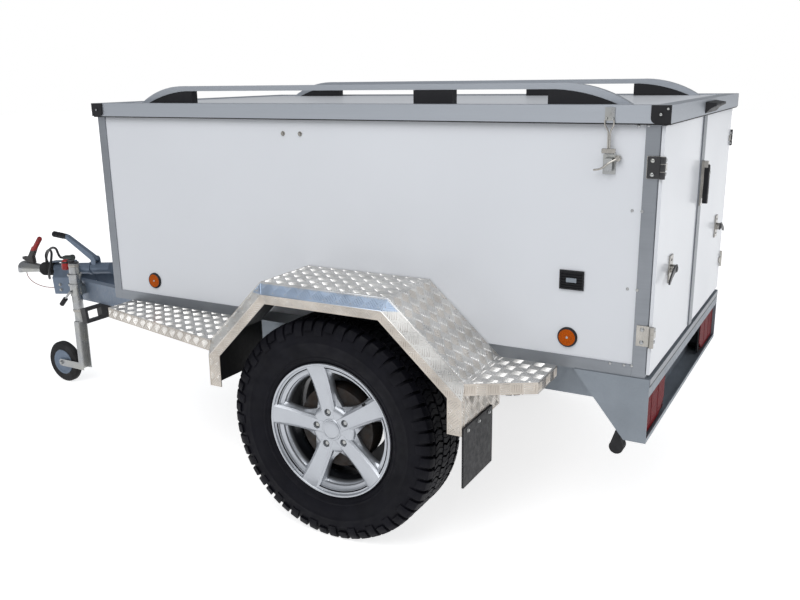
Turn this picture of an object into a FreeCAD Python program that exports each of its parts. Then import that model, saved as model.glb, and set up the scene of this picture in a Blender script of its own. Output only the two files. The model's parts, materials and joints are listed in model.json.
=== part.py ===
import FreeCAD, Part
import math
import os

# Off-road box trailer with a hinged lid, two rear doors and a braked drawbar.
# Millimetres. +X points forward to the coupling, +Y to the left, +Z up.
# The ground is z = 0, and x = 0 lies halfway between the coupling's nose and the lid's rear handle.

os.makedirs("parts", exist_ok=True)

# Fits and general clearances
seat_gap = 0.3
door_gap = 6.0
overrun = 10.0

# Wheels
tyre_radius = 361.0
tyre_width = 232.0
tyre_gap = 20.0
tyre_crown_share = 0.8
tyre_shoulder_share = 0.97
flange_radius = 220.5
bead_radius = 203.2
rim_width = 178.0
rim_wall = 7.0
rim_flange_thickness = 8.0
rim_lip_bevel = 4.0
rim_step = 4.0
rim_step_depth = 12.0
tread_groove_depth = 9.0
spoke_count = 5
spoke_turn_deg = 5.0
spoke_inset = 10.0
spoke_thickness = 30.0
spoke_width_outer = 72.0
spoke_width_inner = 108.0
spoke_facet = 8.0
spoke_root_radius = 22.0
window_radius = 188.0
window_corner_radius = 17.0
channel_width = 15.0
channel_depth = 3.0
channel_start = 98.0
channel_end = 172.0
hub_bore_radius = 33.0
hub_bore_depth = 22.0
lug_circle_radius = 56.0
lug_hole_radius = 7.5
lug_recess_radius = 12.0
lug_recess_depth = 9.0
centre_cap_radius = 31.0
centre_cap_height = 4.0

# Box body
box_length = 2034.0
box_width = 1124.0
box_height = 690.0
box_above_axle = 247.0
box_bottom = tyre_radius + box_above_axle
box_top = box_bottom + box_height
box_rear_behind_axle = 900.0
post_size = 40.0
post_corner_radius = 7.0
post_wall = 24.0
panel_thickness = 20.0
panel_set_back = 1.5
base_rail_height = 35.0
base_rail_wall = 2.0
base_rail_web = 3.0
floor_thickness = 18.0
sill_height = 18.0
sill_depth = 40.0

# Door fittings
catch_inset = 177.0
catch_above_floor = 277.0
catch_y = box_width / 2 - catch_inset
catch_z = box_bottom + catch_above_floor
catch_width = 42.0
catch_height = 78.0
catch_plate_thickness = 4.0
catch_knob_radius = 12.0
catch_reach = 18.0
lock_below_top = 215.0
lock_z = box_top - lock_below_top
lock_width = 34.0
lock_height = 140.0
lock_reach = 18.0

# Lid
lid_height = 46.0
lid_rear_lap = 24.0
lid_front_lap = 2.0
lid_side_lap = 14.0
lid_profile_width = 44.0
lid_panel_thickness = 22.0
lid_panel_drop = 4.0
lid_cap_length = 50.0
lid_cap_thickness = 5.0
lid_cap_radius = 14.0
lid_cap_screw_radius = 5.0
lid_handle_length = 190.0
lid_handle_reach = 30.0
lid_handle_height = 22.0
lid_handle_bar = 12.0
lid_handle_foot = 24.0

# Places along the trailer
nose_ahead_of_box = 1297.0
box_front_ahead = box_length - box_rear_behind_axle
nose_ahead_of_axle = box_front_ahead + nose_ahead_of_box
tail_behind_axle = box_rear_behind_axle + lid_rear_lap + lid_handle_reach
axle_x = (tail_behind_axle - nose_ahead_of_axle) / 2
nose_x = axle_x + nose_ahead_of_axle
box_rear = axle_x - box_rear_behind_axle
box_front = box_rear + box_length
box_side = box_width / 2
lid_top = box_top + lid_height
lid_rear = box_rear - lid_rear_lap
lid_front = box_front + lid_front_lap
lid_side = box_side + lid_side_lap

# Rear doors
door_skin = 9.0
door_plug = 16.0
door_bottom_gap = 12.0
door_meeting_gap = 6.0
astragal_width = 50.0
astragal_thickness = 3.5

# Hinges of the doors and the lid
hinge_height = 58.0
hinge_leaf_width = 32.0
hinge_leaf_thickness = 3.0
hinge_barrel_radius = 7.0
hinge_knuckle_gap = 0.5
hinge_upper_below_top = 112.0
hinge_lower_above_floor = 122.0
hinge_upper_z = box_top - hinge_upper_below_top
hinge_lower_z = box_bottom + hinge_lower_above_floor
lid_hinge_length = 90.0
lid_hinge_inset = 142.0
lid_hinge_spread = box_width / 2 - lid_hinge_inset

# Axle and brakes
drum_radius = 132.0
drum_width = 58.0
back_plate_thickness = 5.0
brake_running_gap = 1.5
spindle_radius = 27.0
stub_radius = 20.0
stub_past_drum = 12.0
hub_wall_past_stub = 6.0
axle_tube_size = 80.0
axle_ahead_of_wheel = 150.0
axle_above_wheel = 105.0
arm_thickness = 26.0
arm_boss_radius = 42.0
axle_bracket_width = 60.0

# Chassis
rail_height = 100.0
rail_flange = 45.0
rail_wall = 4.0
rail_inset = 57.0
rail_outer = box_width / 2 - rail_inset
rail_front_set_back = 90.0
cross_member_width = 40.0
cross_member_height = 60.0
cross_member_shares = (0.16, 0.5, 0.86)
outrigger_size = 25.0
outrigger_length = 130.0
outrigger_shares = (0.2, 0.75)

# Tail beam and side plates
beam_reach = 12.0
beam_depth = 62.0
beam_height = 190.0
beam_wall = 3.0
beam_top_lip = 53.0
beam_bottom_lip = 13.0
side_plate_wall = 4.0
side_plate_top_length = 215.0
side_plate_bottom_length = 62.0
lamp_width = 258.0
lamp_height = 115.0
lamp_set_back = 10.0
lamp_lens_depth = 12.0
lamp_above_beam_bottom = 12.5
lamp_inset = 7.0
lamp_corner_width = 64.0
lamp_corner_height = 36.0
plate_lamp_width = 90.0
plate_lamp_height = 24.0
plate_lamp_depth = 26.0
plate_lamp_offset = 170.0
buffer_radius = 20.5
buffer_width = 34.0
buffer_ahead = 20.0
buffer_below = 28.0
buffer_neck = 64.0

# Fenders, running boards, steps and flaps
sheet = 3.0
fender_over_tyre = 100.0
fender_top_ahead = 213.0
fender_top_behind = 235.0
fender_ahead_of_tyre = 63.0
fender_behind_tyre = 111.0
fender_foot_drop = 150.0
fender_past_tyre = 8.0
fender_bevel_width = 18.0
fender_top = tyre_radius * 2 + fender_over_tyre
fender_foot_ahead = tyre_radius + fender_ahead_of_tyre
fender_foot_behind = tyre_radius + fender_behind_tyre
fender_flat_outer = box_width / 2 + tyre_gap + tyre_width + fender_past_tyre
fender_side = fender_flat_outer + fender_bevel_width
fender_bevel_drop = 34.0
fender_skirt = 62.0
fender_foot_skirt = 44.0
board_to_box_front = 96.0
board_length = box_front_ahead - board_to_box_front - fender_foot_ahead
board_front_width = 125.0
board_inside_fender = 12.0
board_front_outer = box_width / 2 + board_front_width
board_rear_outer = fender_side - board_inside_fender
board_skirt = 38.0
step_to_side_plate = 49.0
step_rear_width = 159.0
step_inside_fender = 14.0
side_plate_front = box_rear_behind_axle + beam_reach - side_plate_top_length
step_length = side_plate_front - step_to_side_plate - fender_foot_behind
step_front_outer = fender_side - step_inside_fender
step_rear_outer = box_width / 2 + step_rear_width
step_skirt = 34.0
flap_thickness = 6.0
flap_width = 205.0
flap_height = 180.0
flap_lap = 22.0

# Side fittings
reflector_radius = 26.0
reflector_height = 7.0
reflector_front_inset = 218.0
reflector_rear_inset = 226.0
reflector_above_floor = 89.0
reflector_z = box_bottom + reflector_above_floor
vent_width = 70.0
vent_height = 55.0
vent_inset = 220.0
vent_above_floor = 257.0
vent_z = box_bottom + vent_above_floor
vent_frame = 4.0
latch_inset = 131.0
latch_plate_width = 26.0
latch_plate_height = 34.0
latch_plate_thickness = 2.5
latch_body_width = 34.0
latch_body_height = 52.0
latch_body_depth = 16.0
latch_below_top = 108.0
latch_body_z = box_top - latch_below_top
latch_rod_radius = 3.0

# Roof rails
roof_rail_inset = 82.0
roof_rail_y = box_width / 2 - roof_rail_inset
roof_rail_front_inset = 160.0
roof_rail_rear_inset = 94.0
roof_rail_ramp = 215.0
roof_rail_height = 56.0
roof_rail_width = 26.0
roof_rail_depth = 17.0
rail_foot_width = 30.0
rail_foot_front_length = 245.0
rail_foot_middle_length = 130.0
rail_foot_rear_length = 235.0
rail_foot_middle_behind = 214.0
rail_foot_clear = 0.5
rail_bulge_share = 0.72
rail_outer_share = 0.42
rail_inner_share = 0.5

# Drawbar, seen level and then tilted about the pivot below
leg_tilt_deg = 8.0
tow_tilt_deg = 6.0
tilt_ahead_of_box = 816.0
tilt_above_axle = 129.0
tilt_z = tyre_radius + tilt_above_axle
leg_depth_front = 100.0
leg_depth_rear = 76.0
leg_flange = 36.0
leg_wall = 4.0
leg_front_y = 65.0
leg_past_rail = 1.886
housing_length = 168.0
housing_below = 77.0
housing_fold_above = 6.0
housing_top_above = 54.0
housing_width = 124.0
housing_top_width = 58.0
housing_wall = 5.0
overrun_tube_behind = 200.0
overrun_tube_ahead = 195.0
overrun_radius = 27.0
overrun_axis_above = 40.0
overrun_collar_radius = 31.0
overrun_collar_length = 16.0
overrun_collar_behind = 70.0
draw_tube_radius = 22.0
bellows_length = 102.0
bellows_radius = 34.0
bellows_fold_depth = 5.0
bellows_folds = 7
head_neck_radius = 24.0
head_collar_length = 22.0
head_rise = 6.0
ball_radius = 25.4
head_wall = 12.0
socket_skirt = 18.0
coupling_handle_height = 120.0
coupling_handle_width = 20.0
coupling_handle_behind = 102.0
coupling_grip_radius = 12.5
coupling_handle_foot = 40.0
coupling_handle_outline_shares = ((0.5, 0.2), (0.48, 0.3), (0.2, 0.27), (0.06, 0.36), (-0.26, 0.72),
                                  (-0.41, 0.6), (-0.16, 0.28))
coupling_grip_shares = ((-0.22, 0.53), (-0.75, 1.02))

# Handbrake, its lever on top of the overrun tube
brake_behind = 92.0
brake_above_tube = 17.0
brake_boss_radius = 15.0
brake_lever_length = 205.0
brake_hub_radius = 13.0
brake_lever_depth = 30.0
brake_lever_tip_depth = 19.0
brake_lever_width = 22.0
brake_lever_wall = 2.5
brake_lever_rise_deg = 34.0
brake_grip_length = 86.0
brake_grip_radius = 12.5
brake_grip_rise_deg = 10.0
brake_cheek_wall = 5.0
brake_side_gap = 2.0
brake_pin_radius = 6.0
brake_pin_clear = 0.1

# Parking plate for the plug
park_plate_behind = 66.0
park_plate_ahead = 225.0
park_plate_width = 44.0
park_plate_thickness = 4.0
park_plate_above = 75.0

# Power cable, its gland on the housing and its plug on the parking plate
gland_y = -46.0
gland_below = 19.0
gland_radius = 11.0
gland_nut_length = 8.0
gland_neck_radius = 8.0
gland_neck_length = 5.0
plug_radius = 15.0
plug_length = 71.0
plug_front_ahead = 137.0
plug_boot_radius = 8.0
plug_boot_length = 18.0
plug_ring_length = 12.0
plug_waist_radius = 12.5
cable_radius = 6.0
breakaway_radius = 2.0
cord_arc_share = 0.45
cable_route = [(178.33, -46.0, -37.85), (213.14, -46.0, -41.5), (258.0, -53.0, -38.0), (303.0, -61.0, -20.0),
               (338.0, -60.0, 13.0), (350.0, -55.0, 55.0), (322.0, -45.0, 88.0), (273.0, -25.0, 106.0),
               (220.0, 6.0, 103.0), (193.0, 34.0, 78.0), (186.0, 52.0, 40.0), (204.0, 51.0, -1.0),
               (232.0, 28.0, -30.0), (270.0, -4.0, -40.0), (323.0, -42.0, -34.0), (362.0, -68.0, -5.0),
               (374.0, -76.0, 37.0), (352.0, -74.0, 79.0), (305.0, -62.0, 106.0), (255.0, -43.0, 113.0),
               (226.0, -29.0, 110.0), (205.0, -16.0, 101.0), (187.0, -7.0, 89.0), (172.0, -2.0, 80.0),
               (159.04, 0.0, 78.1), (146.11, 0.0, 79.46)]
breakaway_route = [(415.8, 17.5, -15.56), (414.75, 17.5, -25.5), (408.0, 19.5, -37.0), (394.0, 23.0, -47.0),
                   (374.0, 27.0, -56.0), (348.0, 31.0, -64.0), (318.0, 34.0, -69.5), (285.0, 37.0, -73.0),
                   (251.0, 39.0, -74.0), (217.0, 41.0, -72.0), (186.13, 42.0, -68.83), (162.27, 42.0, -66.32)]

# Bar under the drawbar
bar_behind = 335.0
bar_half_length = 330.0
bar_height = 68.0
bar_thickness = 30.0
bar_frame = 14.0
bar_window = 75.0

# Jockey wheel
jockey_behind = 128.0
jockey_past_leg = 42.5702
jockey_tube_radius = 24.0
jockey_tube_wall = 2.5
jockey_tube_below = 122.0
jockey_tube_above = 110.0
jockey_tube_bottom = tilt_z - jockey_tube_below
jockey_tube_top = tilt_z + jockey_tube_above
jockey_leg_gap = 46.0
jockey_leg_top = jockey_tube_bottom - jockey_leg_gap
jockey_leg_bottom = 82.0
jockey_slide_room = 52.0
jockey_fork_wall = 4.0
jockey_fork_width = 34.0
jockey_arm_height = 34.0
jockey_wheel_radius = 100.0
jockey_wheel_width = 34.0
jockey_rim_radius = 62.0
jockey_rim_width = 30.0
jockey_trail = 132.0
jockey_axle_radius = 8.0
jockey_side_gap = 5.0
jockey_crank_reach = 52.0
jockey_crank_wall = 6.0
jockey_crank_width = 14.0
jockey_knob_length = 46.0
jockey_knob_radius = 20.0
jockey_knob_bevel = 8.0
clamp_below = 42.0
clamp_bottom = tilt_z - clamp_below
clamp_height = 103.0
clamp_pad = 56.0
clamp_pad_inset = 18.0
clamp_wall = 4.0
clamp_band_wall = 9.0
clamp_band_height = 9.0
clamp_band_spacing = 46.0
clamp_lever_above = 23.0
clamp_lever_drop_deg = 45.0
clamp_lever_length = 95.0
clamp_lever_radius = 5.0
clamp_grip_radius = 9.0
clamp_grip_length = 40.0


def vec(x, y, z):
    return FreeCAD.Vector(x, y, z)


def block(x0, x1, y0, y1, z0, z1):
    """A box between two corners."""
    return Part.makeBox(x1 - x0, y1 - y0, z1 - z0, vec(x0, y0, z0))


def rod(start, end, radius):
    """A round bar from one point to another."""
    line = end.sub(start)
    return Part.makeCylinder(radius, line.Length, start, line)


def prism(points, way):
    """A closed outline pushed along a vector."""
    return Part.Face(Part.makePolygon(points + [points[0]])).extrude(way)


def side_prism(outline, y0, y1):
    """An outline of (x, z) pairs pushed from one y to another."""
    return prism([vec(x, y0, z) for x, z in outline], vec(0, y1 - y0, 0))


def plan_prism(outline, z0, z1):
    """An outline of (x, y) pairs pushed from one z to another."""
    return prism([vec(x, y, z0) for x, y in outline], vec(0, 0, z1 - z0))


def mirrored(shape):
    """The same piece on the trailer's other side."""
    return shape.mirror(vec(0, 0, 0), vec(0, 1, 0))


def both_sides(shape):
    return [shape, mirrored(shape)]


def turned(profile, axis_point, axis):
    """A closed (radius, height) outline turned round an axis along Y."""
    points = [vec(axis_point.x, axis_point.y + h, axis_point.z + r) for r, h in profile]
    face = Part.Face(Part.makePolygon(points + [points[0]]))
    return face.revolve(axis_point, axis, 360)


def solids_of(shapes):
    """Every solid in a list of shapes."""
    found = []
    for shape in shapes:
        found.extend(shape.Solids)
    return found


nodes = {}


def add(name, shapes):
    """Keep the pieces of one node."""
    pieces = shapes if isinstance(shapes, list) else [shapes]
    nodes[name] = solids_of(pieces)


def offset_outline(points, distances):
    """Move each stretch of an open (x, z) outline to its right by its own distance."""
    lines = []
    for (x0, z0), (x1, z1), d in zip(points[:-1], points[1:], distances):
        length = math.hypot(x1 - x0, z1 - z0)
        nx, nz = (z1 - z0) / length, -(x1 - x0) / length
        lines.append((x0 + nx * d, z0 + nz * d, x1 - x0, z1 - z0))
    moved = [(lines[0][0], lines[0][1])]
    for (ax, az, adx, adz), (bx, bz, bdx, bdz) in zip(lines[:-1], lines[1:]):
        cross = adx * bdz - adz * bdx
        t = ((bx - ax) * bdz - (bz - az) * bdx) / cross
        moved.append((ax + adx * t, az + adz * t))
    lx, lz, ldx, ldz = lines[-1]
    moved.append((lx + ldx, lz + ldz))
    return moved


# Box body

def corner_post(side_sign, front):
    """An L-shaped aluminium corner post with a rounded outer edge."""
    x_out = box_front if front else box_rear
    x_in = x_out - post_size if front else x_out + post_size
    x0, x1 = min(x_out, x_in), max(x_out, x_in)
    post = block(x0, x1, box_side - post_size, box_side, box_bottom, box_top)
    outer = [e for e in post.Edges
             if abs(e.CenterOfMass.x - x_out) < seat_gap and abs(e.CenterOfMass.y - box_side) < seat_gap]
    post = post.makeFillet(post_corner_radius, outer)
    notch_x0 = x0 if front else x0 + post_wall
    notch_x1 = x1 - post_wall if front else x1
    notch = block(notch_x0, notch_x1, box_side - post_size, box_side - post_wall, box_bottom, box_top)
    post = post.cut(notch)
    return post if side_sign > 0 else mirrored(post)


panel_outer_y = box_side - panel_set_back - base_rail_wall
panel_inner_y = panel_outer_y - panel_thickness
wall_x0 = box_rear + post_size + seat_gap
wall_x1 = box_front - post_size - seat_gap
panel_bottom = box_bottom + base_rail_web + seat_gap


def side_wall():
    return block(wall_x0, wall_x1, panel_inner_y, panel_outer_y, panel_bottom, box_top)


def front_wall():
    outer = box_front - panel_set_back - base_rail_wall
    half = box_side - post_size - seat_gap
    return block(outer - panel_thickness, outer, -half, half, panel_bottom, box_top)


def base_rail():
    """A channel along the side that takes the panel's bottom edge."""
    outer = box_side
    inner = panel_inner_y - seat_gap - base_rail_wall
    rail = block(wall_x0, wall_x1, inner, outer, box_bottom, box_bottom + base_rail_height)
    slot = block(wall_x0 - overrun, wall_x1 + overrun, panel_inner_y - seat_gap, panel_outer_y + seat_gap,
                 box_bottom + base_rail_web, box_bottom + base_rail_height + overrun)
    return rail.cut(slot)


def front_base_rail():
    outer = box_front
    panel_out = box_front - panel_set_back - base_rail_wall
    panel_in = panel_out - panel_thickness
    half = box_side - post_size - seat_gap
    rail = block(panel_in - seat_gap - base_rail_wall, outer, -half, half,
                 box_bottom, box_bottom + base_rail_height)
    slot = block(panel_in - seat_gap, panel_out + seat_gap, -half - overrun, half + overrun,
                 box_bottom + base_rail_web, box_bottom + base_rail_height + overrun)
    return rail.cut(slot)


def floor_panel():
    half = panel_inner_y - 2 * seat_gap - base_rail_wall
    front = box_front - panel_set_back - 2 * base_rail_wall - panel_thickness - 2 * seat_gap
    rear = box_rear + sill_depth + seat_gap
    corner = box_front - post_size - seat_gap
    side = box_side - post_size - seat_gap
    outline = [(rear, -half), (corner, -half), (corner, -side), (front, -side),
               (front, side), (corner, side), (corner, half), (rear, half)]
    return plan_prism(outline, box_bottom, box_bottom + floor_thickness)


def rear_sill():
    half = box_side - post_size - seat_gap
    return block(box_rear, box_rear + sill_depth, -half, half, box_bottom, box_bottom + sill_height)


add("corner_posts", [corner_post(s, f) for s in (1, -1) for f in (True, False)])
add("side_wall_left", side_wall())
add("side_wall_right", mirrored(side_wall()))
add("front_wall", front_wall())
add("base_rails", both_sides(base_rail()) + [front_base_rail(), rear_sill()])
add("floor_panel", floor_panel())


# Lid

def lid_frame():
    """A closed frame of wide aluminium profile round the lid's edge."""
    ring = block(lid_rear, lid_front, -lid_side, lid_side, box_top, lid_top)
    hole = block(lid_rear + lid_profile_width, lid_front - lid_profile_width,
                 -lid_side + lid_profile_width, lid_side - lid_profile_width,
                 box_top - overrun, lid_top + overrun)
    return ring.cut(hole)


def lid_panel():
    inset = lid_profile_width + seat_gap
    top = lid_top - lid_panel_drop
    return block(lid_rear + inset, lid_front - inset, -lid_side + inset, lid_side - inset,
                 top - lid_panel_thickness, top)


def lid_cap(front):
    """A black cap on the side of the frame at a corner, with one rounded lower corner."""
    x_out = lid_front if front else lid_rear
    x_in = x_out - lid_cap_length if front else x_out + lid_cap_length
    x0, x1 = min(x_out, x_in), max(x_out, x_in)
    y0 = lid_side + seat_gap
    cap = block(x0, x1, y0, y0 + lid_cap_thickness, box_top, lid_top)
    edge = [e for e in cap.Edges
            if abs(e.CenterOfMass.x - x_in) < seat_gap and abs(e.CenterOfMass.z - box_top) < seat_gap]
    cap = cap.makeFillet(lid_cap_radius, edge)
    mid = vec((x0 + x1) / 2, y0 + lid_cap_thickness, (box_top + lid_top) / 2)
    screw = Part.makeCylinder(lid_cap_screw_radius, lid_cap_thickness / 2, mid, vec(0, 1, 0))
    return cap.fuse(screw)


def lid_handle():
    """A black grab on the lid's rear face, with a foot at each end."""
    x1 = lid_rear - seat_gap
    x0 = lid_rear - lid_handle_reach
    mid = (box_top + lid_top) / 2
    z0 = mid - lid_handle_height / 2
    z1 = mid + lid_handle_height / 2
    half = lid_handle_length / 2
    grip = block(x0, x0 + lid_handle_bar, -half, half, z0, z1)
    for y in (-half, half - lid_handle_foot):
        grip = grip.fuse(block(x0, x1, y, y + lid_handle_foot, z0, z1))
    return grip.removeSplitter()


add("lid_frame", lid_frame())
add("lid_panel", lid_panel())
add("lid_caps", both_sides(lid_cap(True)) + both_sides(lid_cap(False)))
add("lid_handle", lid_handle())


# Roof rails

rail_base = lid_top - lid_panel_drop + seat_gap
rail_top_z = lid_top + roof_rail_height
rail_front_x = box_front - roof_rail_front_inset
rail_rear_x = box_rear + roof_rail_rear_inset


def roof_rail():
    """A rail that rises in an arc at each end and runs level between."""
    z0 = rail_base
    top = rail_top_z
    bulge = z0 + (top - z0) * rail_bulge_share
    outer_in = roof_rail_ramp * rail_outer_share
    inner_in = roof_rail_ramp * rail_inner_share
    low_in = roof_rail_depth * 2
    rear_start = vec(rail_rear_x, 0, z0)
    rear_end = vec(rail_rear_x + roof_rail_ramp, 0, top)
    front_end = vec(rail_front_x - roof_rail_ramp, 0, top)
    front_start = vec(rail_front_x, 0, z0)
    rear_mid = vec(rail_rear_x + outer_in, 0, bulge)
    front_mid = vec(rail_front_x - outer_in, 0, bulge)
    front_low = vec(rail_front_x - low_in, 0, z0)
    front_under = vec(rail_front_x - inner_in, 0, bulge - roof_rail_depth)
    front_level = vec(rail_front_x - roof_rail_ramp, 0, top - roof_rail_depth)
    rear_level = vec(rail_rear_x + roof_rail_ramp, 0, top - roof_rail_depth)
    rear_under = vec(rail_rear_x + inner_in, 0, bulge - roof_rail_depth)
    rear_low = vec(rail_rear_x + low_in, 0, z0)
    edges = [Part.Arc(rear_start, rear_mid, rear_end).toShape(), Part.makeLine(rear_end, front_end),
             Part.Arc(front_end, front_mid, front_start).toShape(), Part.makeLine(front_start, front_low),
             Part.Arc(front_low, front_under, front_level).toShape(), Part.makeLine(front_level, rear_level),
             Part.Arc(rear_level, rear_under, rear_low).toShape(), Part.makeLine(rear_low, rear_start)]
    rail = Part.Face(Part.Wire(edges)).extrude(vec(0, roof_rail_width, 0))
    rail.translate(vec(0, roof_rail_y - roof_rail_width / 2, 0))
    return rail


def rail_underside(x0, x1):
    """The space under the rail's lower edge between two places, a little short of the rail."""
    z0 = rail_base
    top = rail_top_z - roof_rail_depth - seat_gap
    bulge = z0 + (rail_top_z - z0) * rail_bulge_share - roof_rail_depth - seat_gap
    front_low = vec(rail_front_x - roof_rail_depth * 2 - rail_foot_clear, 0, z0)
    mid_in = roof_rail_ramp * rail_inner_share + rail_foot_clear
    mid_z = bulge - rail_foot_clear
    front_mid = vec(rail_front_x - mid_in, 0, mid_z)
    front_top = vec(rail_front_x - roof_rail_ramp, 0, top)
    rear_top = vec(rail_rear_x + roof_rail_ramp, 0, top)
    rear_mid = vec(rail_rear_x + mid_in, 0, mid_z)
    rear_low = vec(rail_rear_x + roof_rail_depth * 2 + rail_foot_clear, 0, z0)
    edges = [Part.Arc(front_low, front_mid, front_top).toShape(), Part.makeLine(front_top, rear_top),
             Part.Arc(rear_top, rear_mid, rear_low).toShape(), Part.makeLine(rear_low, front_low)]
    filler = Part.Face(Part.Wire(edges)).extrude(vec(0, rail_foot_width, 0))
    filler.translate(vec(0, roof_rail_y - rail_foot_width / 2, 0))
    window = block(x0, x1, roof_rail_y - rail_foot_width, roof_rail_y + rail_foot_width,
                   lid_top - overrun, lid_top + roof_rail_height)
    return filler.common(window)


def rail_feet():
    """Three black feet that fill the space between the lid and the rail."""
    middle = axle_x - rail_foot_middle_behind
    spans = [(rail_rear_x, rail_rear_x + rail_foot_rear_length),
             (middle - rail_foot_middle_length / 2, middle + rail_foot_middle_length / 2),
             (rail_front_x - rail_foot_front_length, rail_front_x)]
    return [rail_underside(x0, x1) for x0, x1 in spans]


add("roof_rails", both_sides(roof_rail()))
add("rail_feet", [piece for foot in rail_feet() for piece in both_sides(foot)])


# Rear doors

door_x1 = box_rear - seat_gap
door_x0 = door_x1 - door_skin
door_z0 = box_bottom + door_bottom_gap
door_z1 = box_top - door_gap


strip_edge = astragal_width / 2


def door_leaf(inner_y):
    """A door on the left: an outer skin over the posts and a plug between them."""
    skin = block(door_x0, door_x1, inner_y, box_side, door_z0, door_z1)
    plug = block(door_x1 - door_skin / 2, door_x1 + door_plug, inner_y,
                 box_side - post_size - door_gap, box_bottom + sill_height + door_gap, door_z1)
    return skin.fuse(plug).removeSplitter()


# The meeting strip is centred and lies wholly on the right door, which is the wider one
add("door_left", door_leaf(strip_edge + door_meeting_gap))
add("door_right", mirrored(door_leaf(-strip_edge)))

astragal_x1 = door_x0 - seat_gap
add("astragal", block(astragal_x1 - astragal_thickness, astragal_x1, -strip_edge, strip_edge,
                      door_z0, door_z1))

hinge_axis_x = door_x0
hinge_axis_y = box_side + hinge_barrel_radius + seat_gap


def hinge_part(z_mid, moving):
    """One half of a corner hinge: the middle knuckle moves with the door."""
    third = hinge_height / 3
    z0 = z_mid - hinge_height / 2
    if moving:
        spans = [(z0 + third + hinge_knuckle_gap, z0 + 2 * third - hinge_knuckle_gap)]
    else:
        spans = [(z0, z0 + third), (z0 + 2 * third, z0 + hinge_height)]
    parts = []
    for low, high in spans:
        parts.append(Part.makeCylinder(hinge_barrel_radius, high - low,
                                       vec(hinge_axis_x, hinge_axis_y, low)))
    return parts


door_hinge_posts = []
door_hinge_doors = []
for z in (hinge_lower_z, hinge_upper_z):
    leaf_y0 = box_side + seat_gap
    leaf = block(hinge_axis_x, box_rear + hinge_leaf_width, leaf_y0, leaf_y0 + hinge_leaf_thickness,
                 z - hinge_height / 2, z + hinge_height / 2)
    gap = block(hinge_axis_x - overrun, hinge_axis_x + hinge_barrel_radius + hinge_knuckle_gap,
                leaf_y0 - overrun, leaf_y0 + hinge_leaf_thickness + overrun,
                z - hinge_height / 6, z + hinge_height / 6)
    fixed = leaf.cut(gap)
    for knuckle in hinge_part(z, False):
        fixed = fixed.fuse(knuckle)
    door_hinge_posts.append(fixed.removeSplitter())
    door_face = door_x0 - seat_gap
    moving = block(door_face - hinge_leaf_thickness, door_face,
                   box_side - hinge_leaf_width, hinge_axis_y - hinge_barrel_radius / 2,
                   z - hinge_height / 6 + hinge_knuckle_gap, z + hinge_height / 6 - hinge_knuckle_gap)
    for knuckle in hinge_part(z, True):
        moving = moving.fuse(knuckle)
    door_hinge_doors.append(moving.removeSplitter())

add("hinge_leaves_left", door_hinge_doors)
add("hinge_leaves_right", [mirrored(s) for s in door_hinge_doors])


lid_axis_x = lid_front + hinge_barrel_radius
lid_axis_z = box_top


def lid_hinge(y_mid):
    """A hinge across the front: two end knuckles on the wall, the middle one on the lid."""
    half = lid_hinge_length / 2
    third = lid_hinge_length / 6
    wall_face = box_front - panel_set_back - base_rail_wall + seat_gap
    fixed = block(wall_face, wall_face + hinge_leaf_thickness, y_mid - half, y_mid + half,
                  lid_axis_z - hinge_leaf_width, lid_axis_z - hinge_barrel_radius / 2)
    for y0 in (y_mid - half, y_mid + third):
        arm = block(wall_face, lid_axis_x, y0, y0 + half - third, lid_axis_z - hinge_barrel_radius,
                    lid_axis_z - hinge_barrel_radius / 2)
        fixed = fixed.fuse(arm)
        fixed = fixed.fuse(rod(vec(lid_axis_x, y0, lid_axis_z),
                               vec(lid_axis_x, y0 + half - third, lid_axis_z), hinge_barrel_radius))
    lid_face = lid_front + seat_gap
    inner = third - hinge_knuckle_gap
    moving = block(lid_face, lid_face + hinge_leaf_thickness, y_mid - inner, y_mid + inner,
                   lid_axis_z, lid_axis_z + hinge_leaf_width)
    moving = moving.fuse(rod(vec(lid_axis_x, y_mid - inner, lid_axis_z),
                             vec(lid_axis_x, y_mid + inner, lid_axis_z), hinge_barrel_radius))
    return fixed, moving


lid_hinge_fixed = []
lid_hinge_moving = []
for y in (-lid_hinge_spread, 0, lid_hinge_spread):
    fixed, moving = lid_hinge(y)
    lid_hinge_fixed.append(fixed)
    lid_hinge_moving.append(moving)

add("fixed_hinge_leaves", door_hinge_posts + [mirrored(s) for s in door_hinge_posts] + lid_hinge_fixed)
add("lid_hinge_leaves", lid_hinge_moving)


# Side fittings

side_face = box_side - panel_set_back - base_rail_wall


def reflector(x):
    """An amber reflector on the side wall."""
    y0 = side_face + seat_gap
    return Part.makeCylinder(reflector_radius, reflector_height, vec(x, y0, reflector_z), vec(0, 1, 0))


def side_vent():
    """A black framed fitting let flat on the side wall."""
    x = box_rear + vent_inset
    y0 = side_face + seat_gap
    frame = block(x - vent_width / 2, x + vent_width / 2, y0, y0 + vent_frame,
                  vent_z - vent_height / 2, vent_z + vent_height / 2)
    room = block(x - vent_width / 2 + vent_frame, x + vent_width / 2 - vent_frame,
                 y0 + vent_frame / 2, y0 + vent_frame + overrun,
                 vent_z - vent_height / 2 + vent_frame, vent_z + vent_height / 2 - vent_frame)
    return frame.cut(room)


def lid_latch_body():
    """The toggle's body on the side wall."""
    x = box_rear + latch_inset
    y0 = side_face + seat_gap
    plate = block(x - latch_body_width / 2, x + latch_body_width / 2, y0, y0 + latch_plate_thickness,
                  latch_body_z - latch_body_height / 2, latch_body_z + latch_body_height / 2)
    lever = block(x - latch_body_width / 4, x + latch_body_width / 4, y0, y0 + latch_body_depth,
                  latch_body_z - latch_body_height / 3, latch_body_z + latch_body_height / 3)
    return plate.fuse(lever).removeSplitter()


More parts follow.
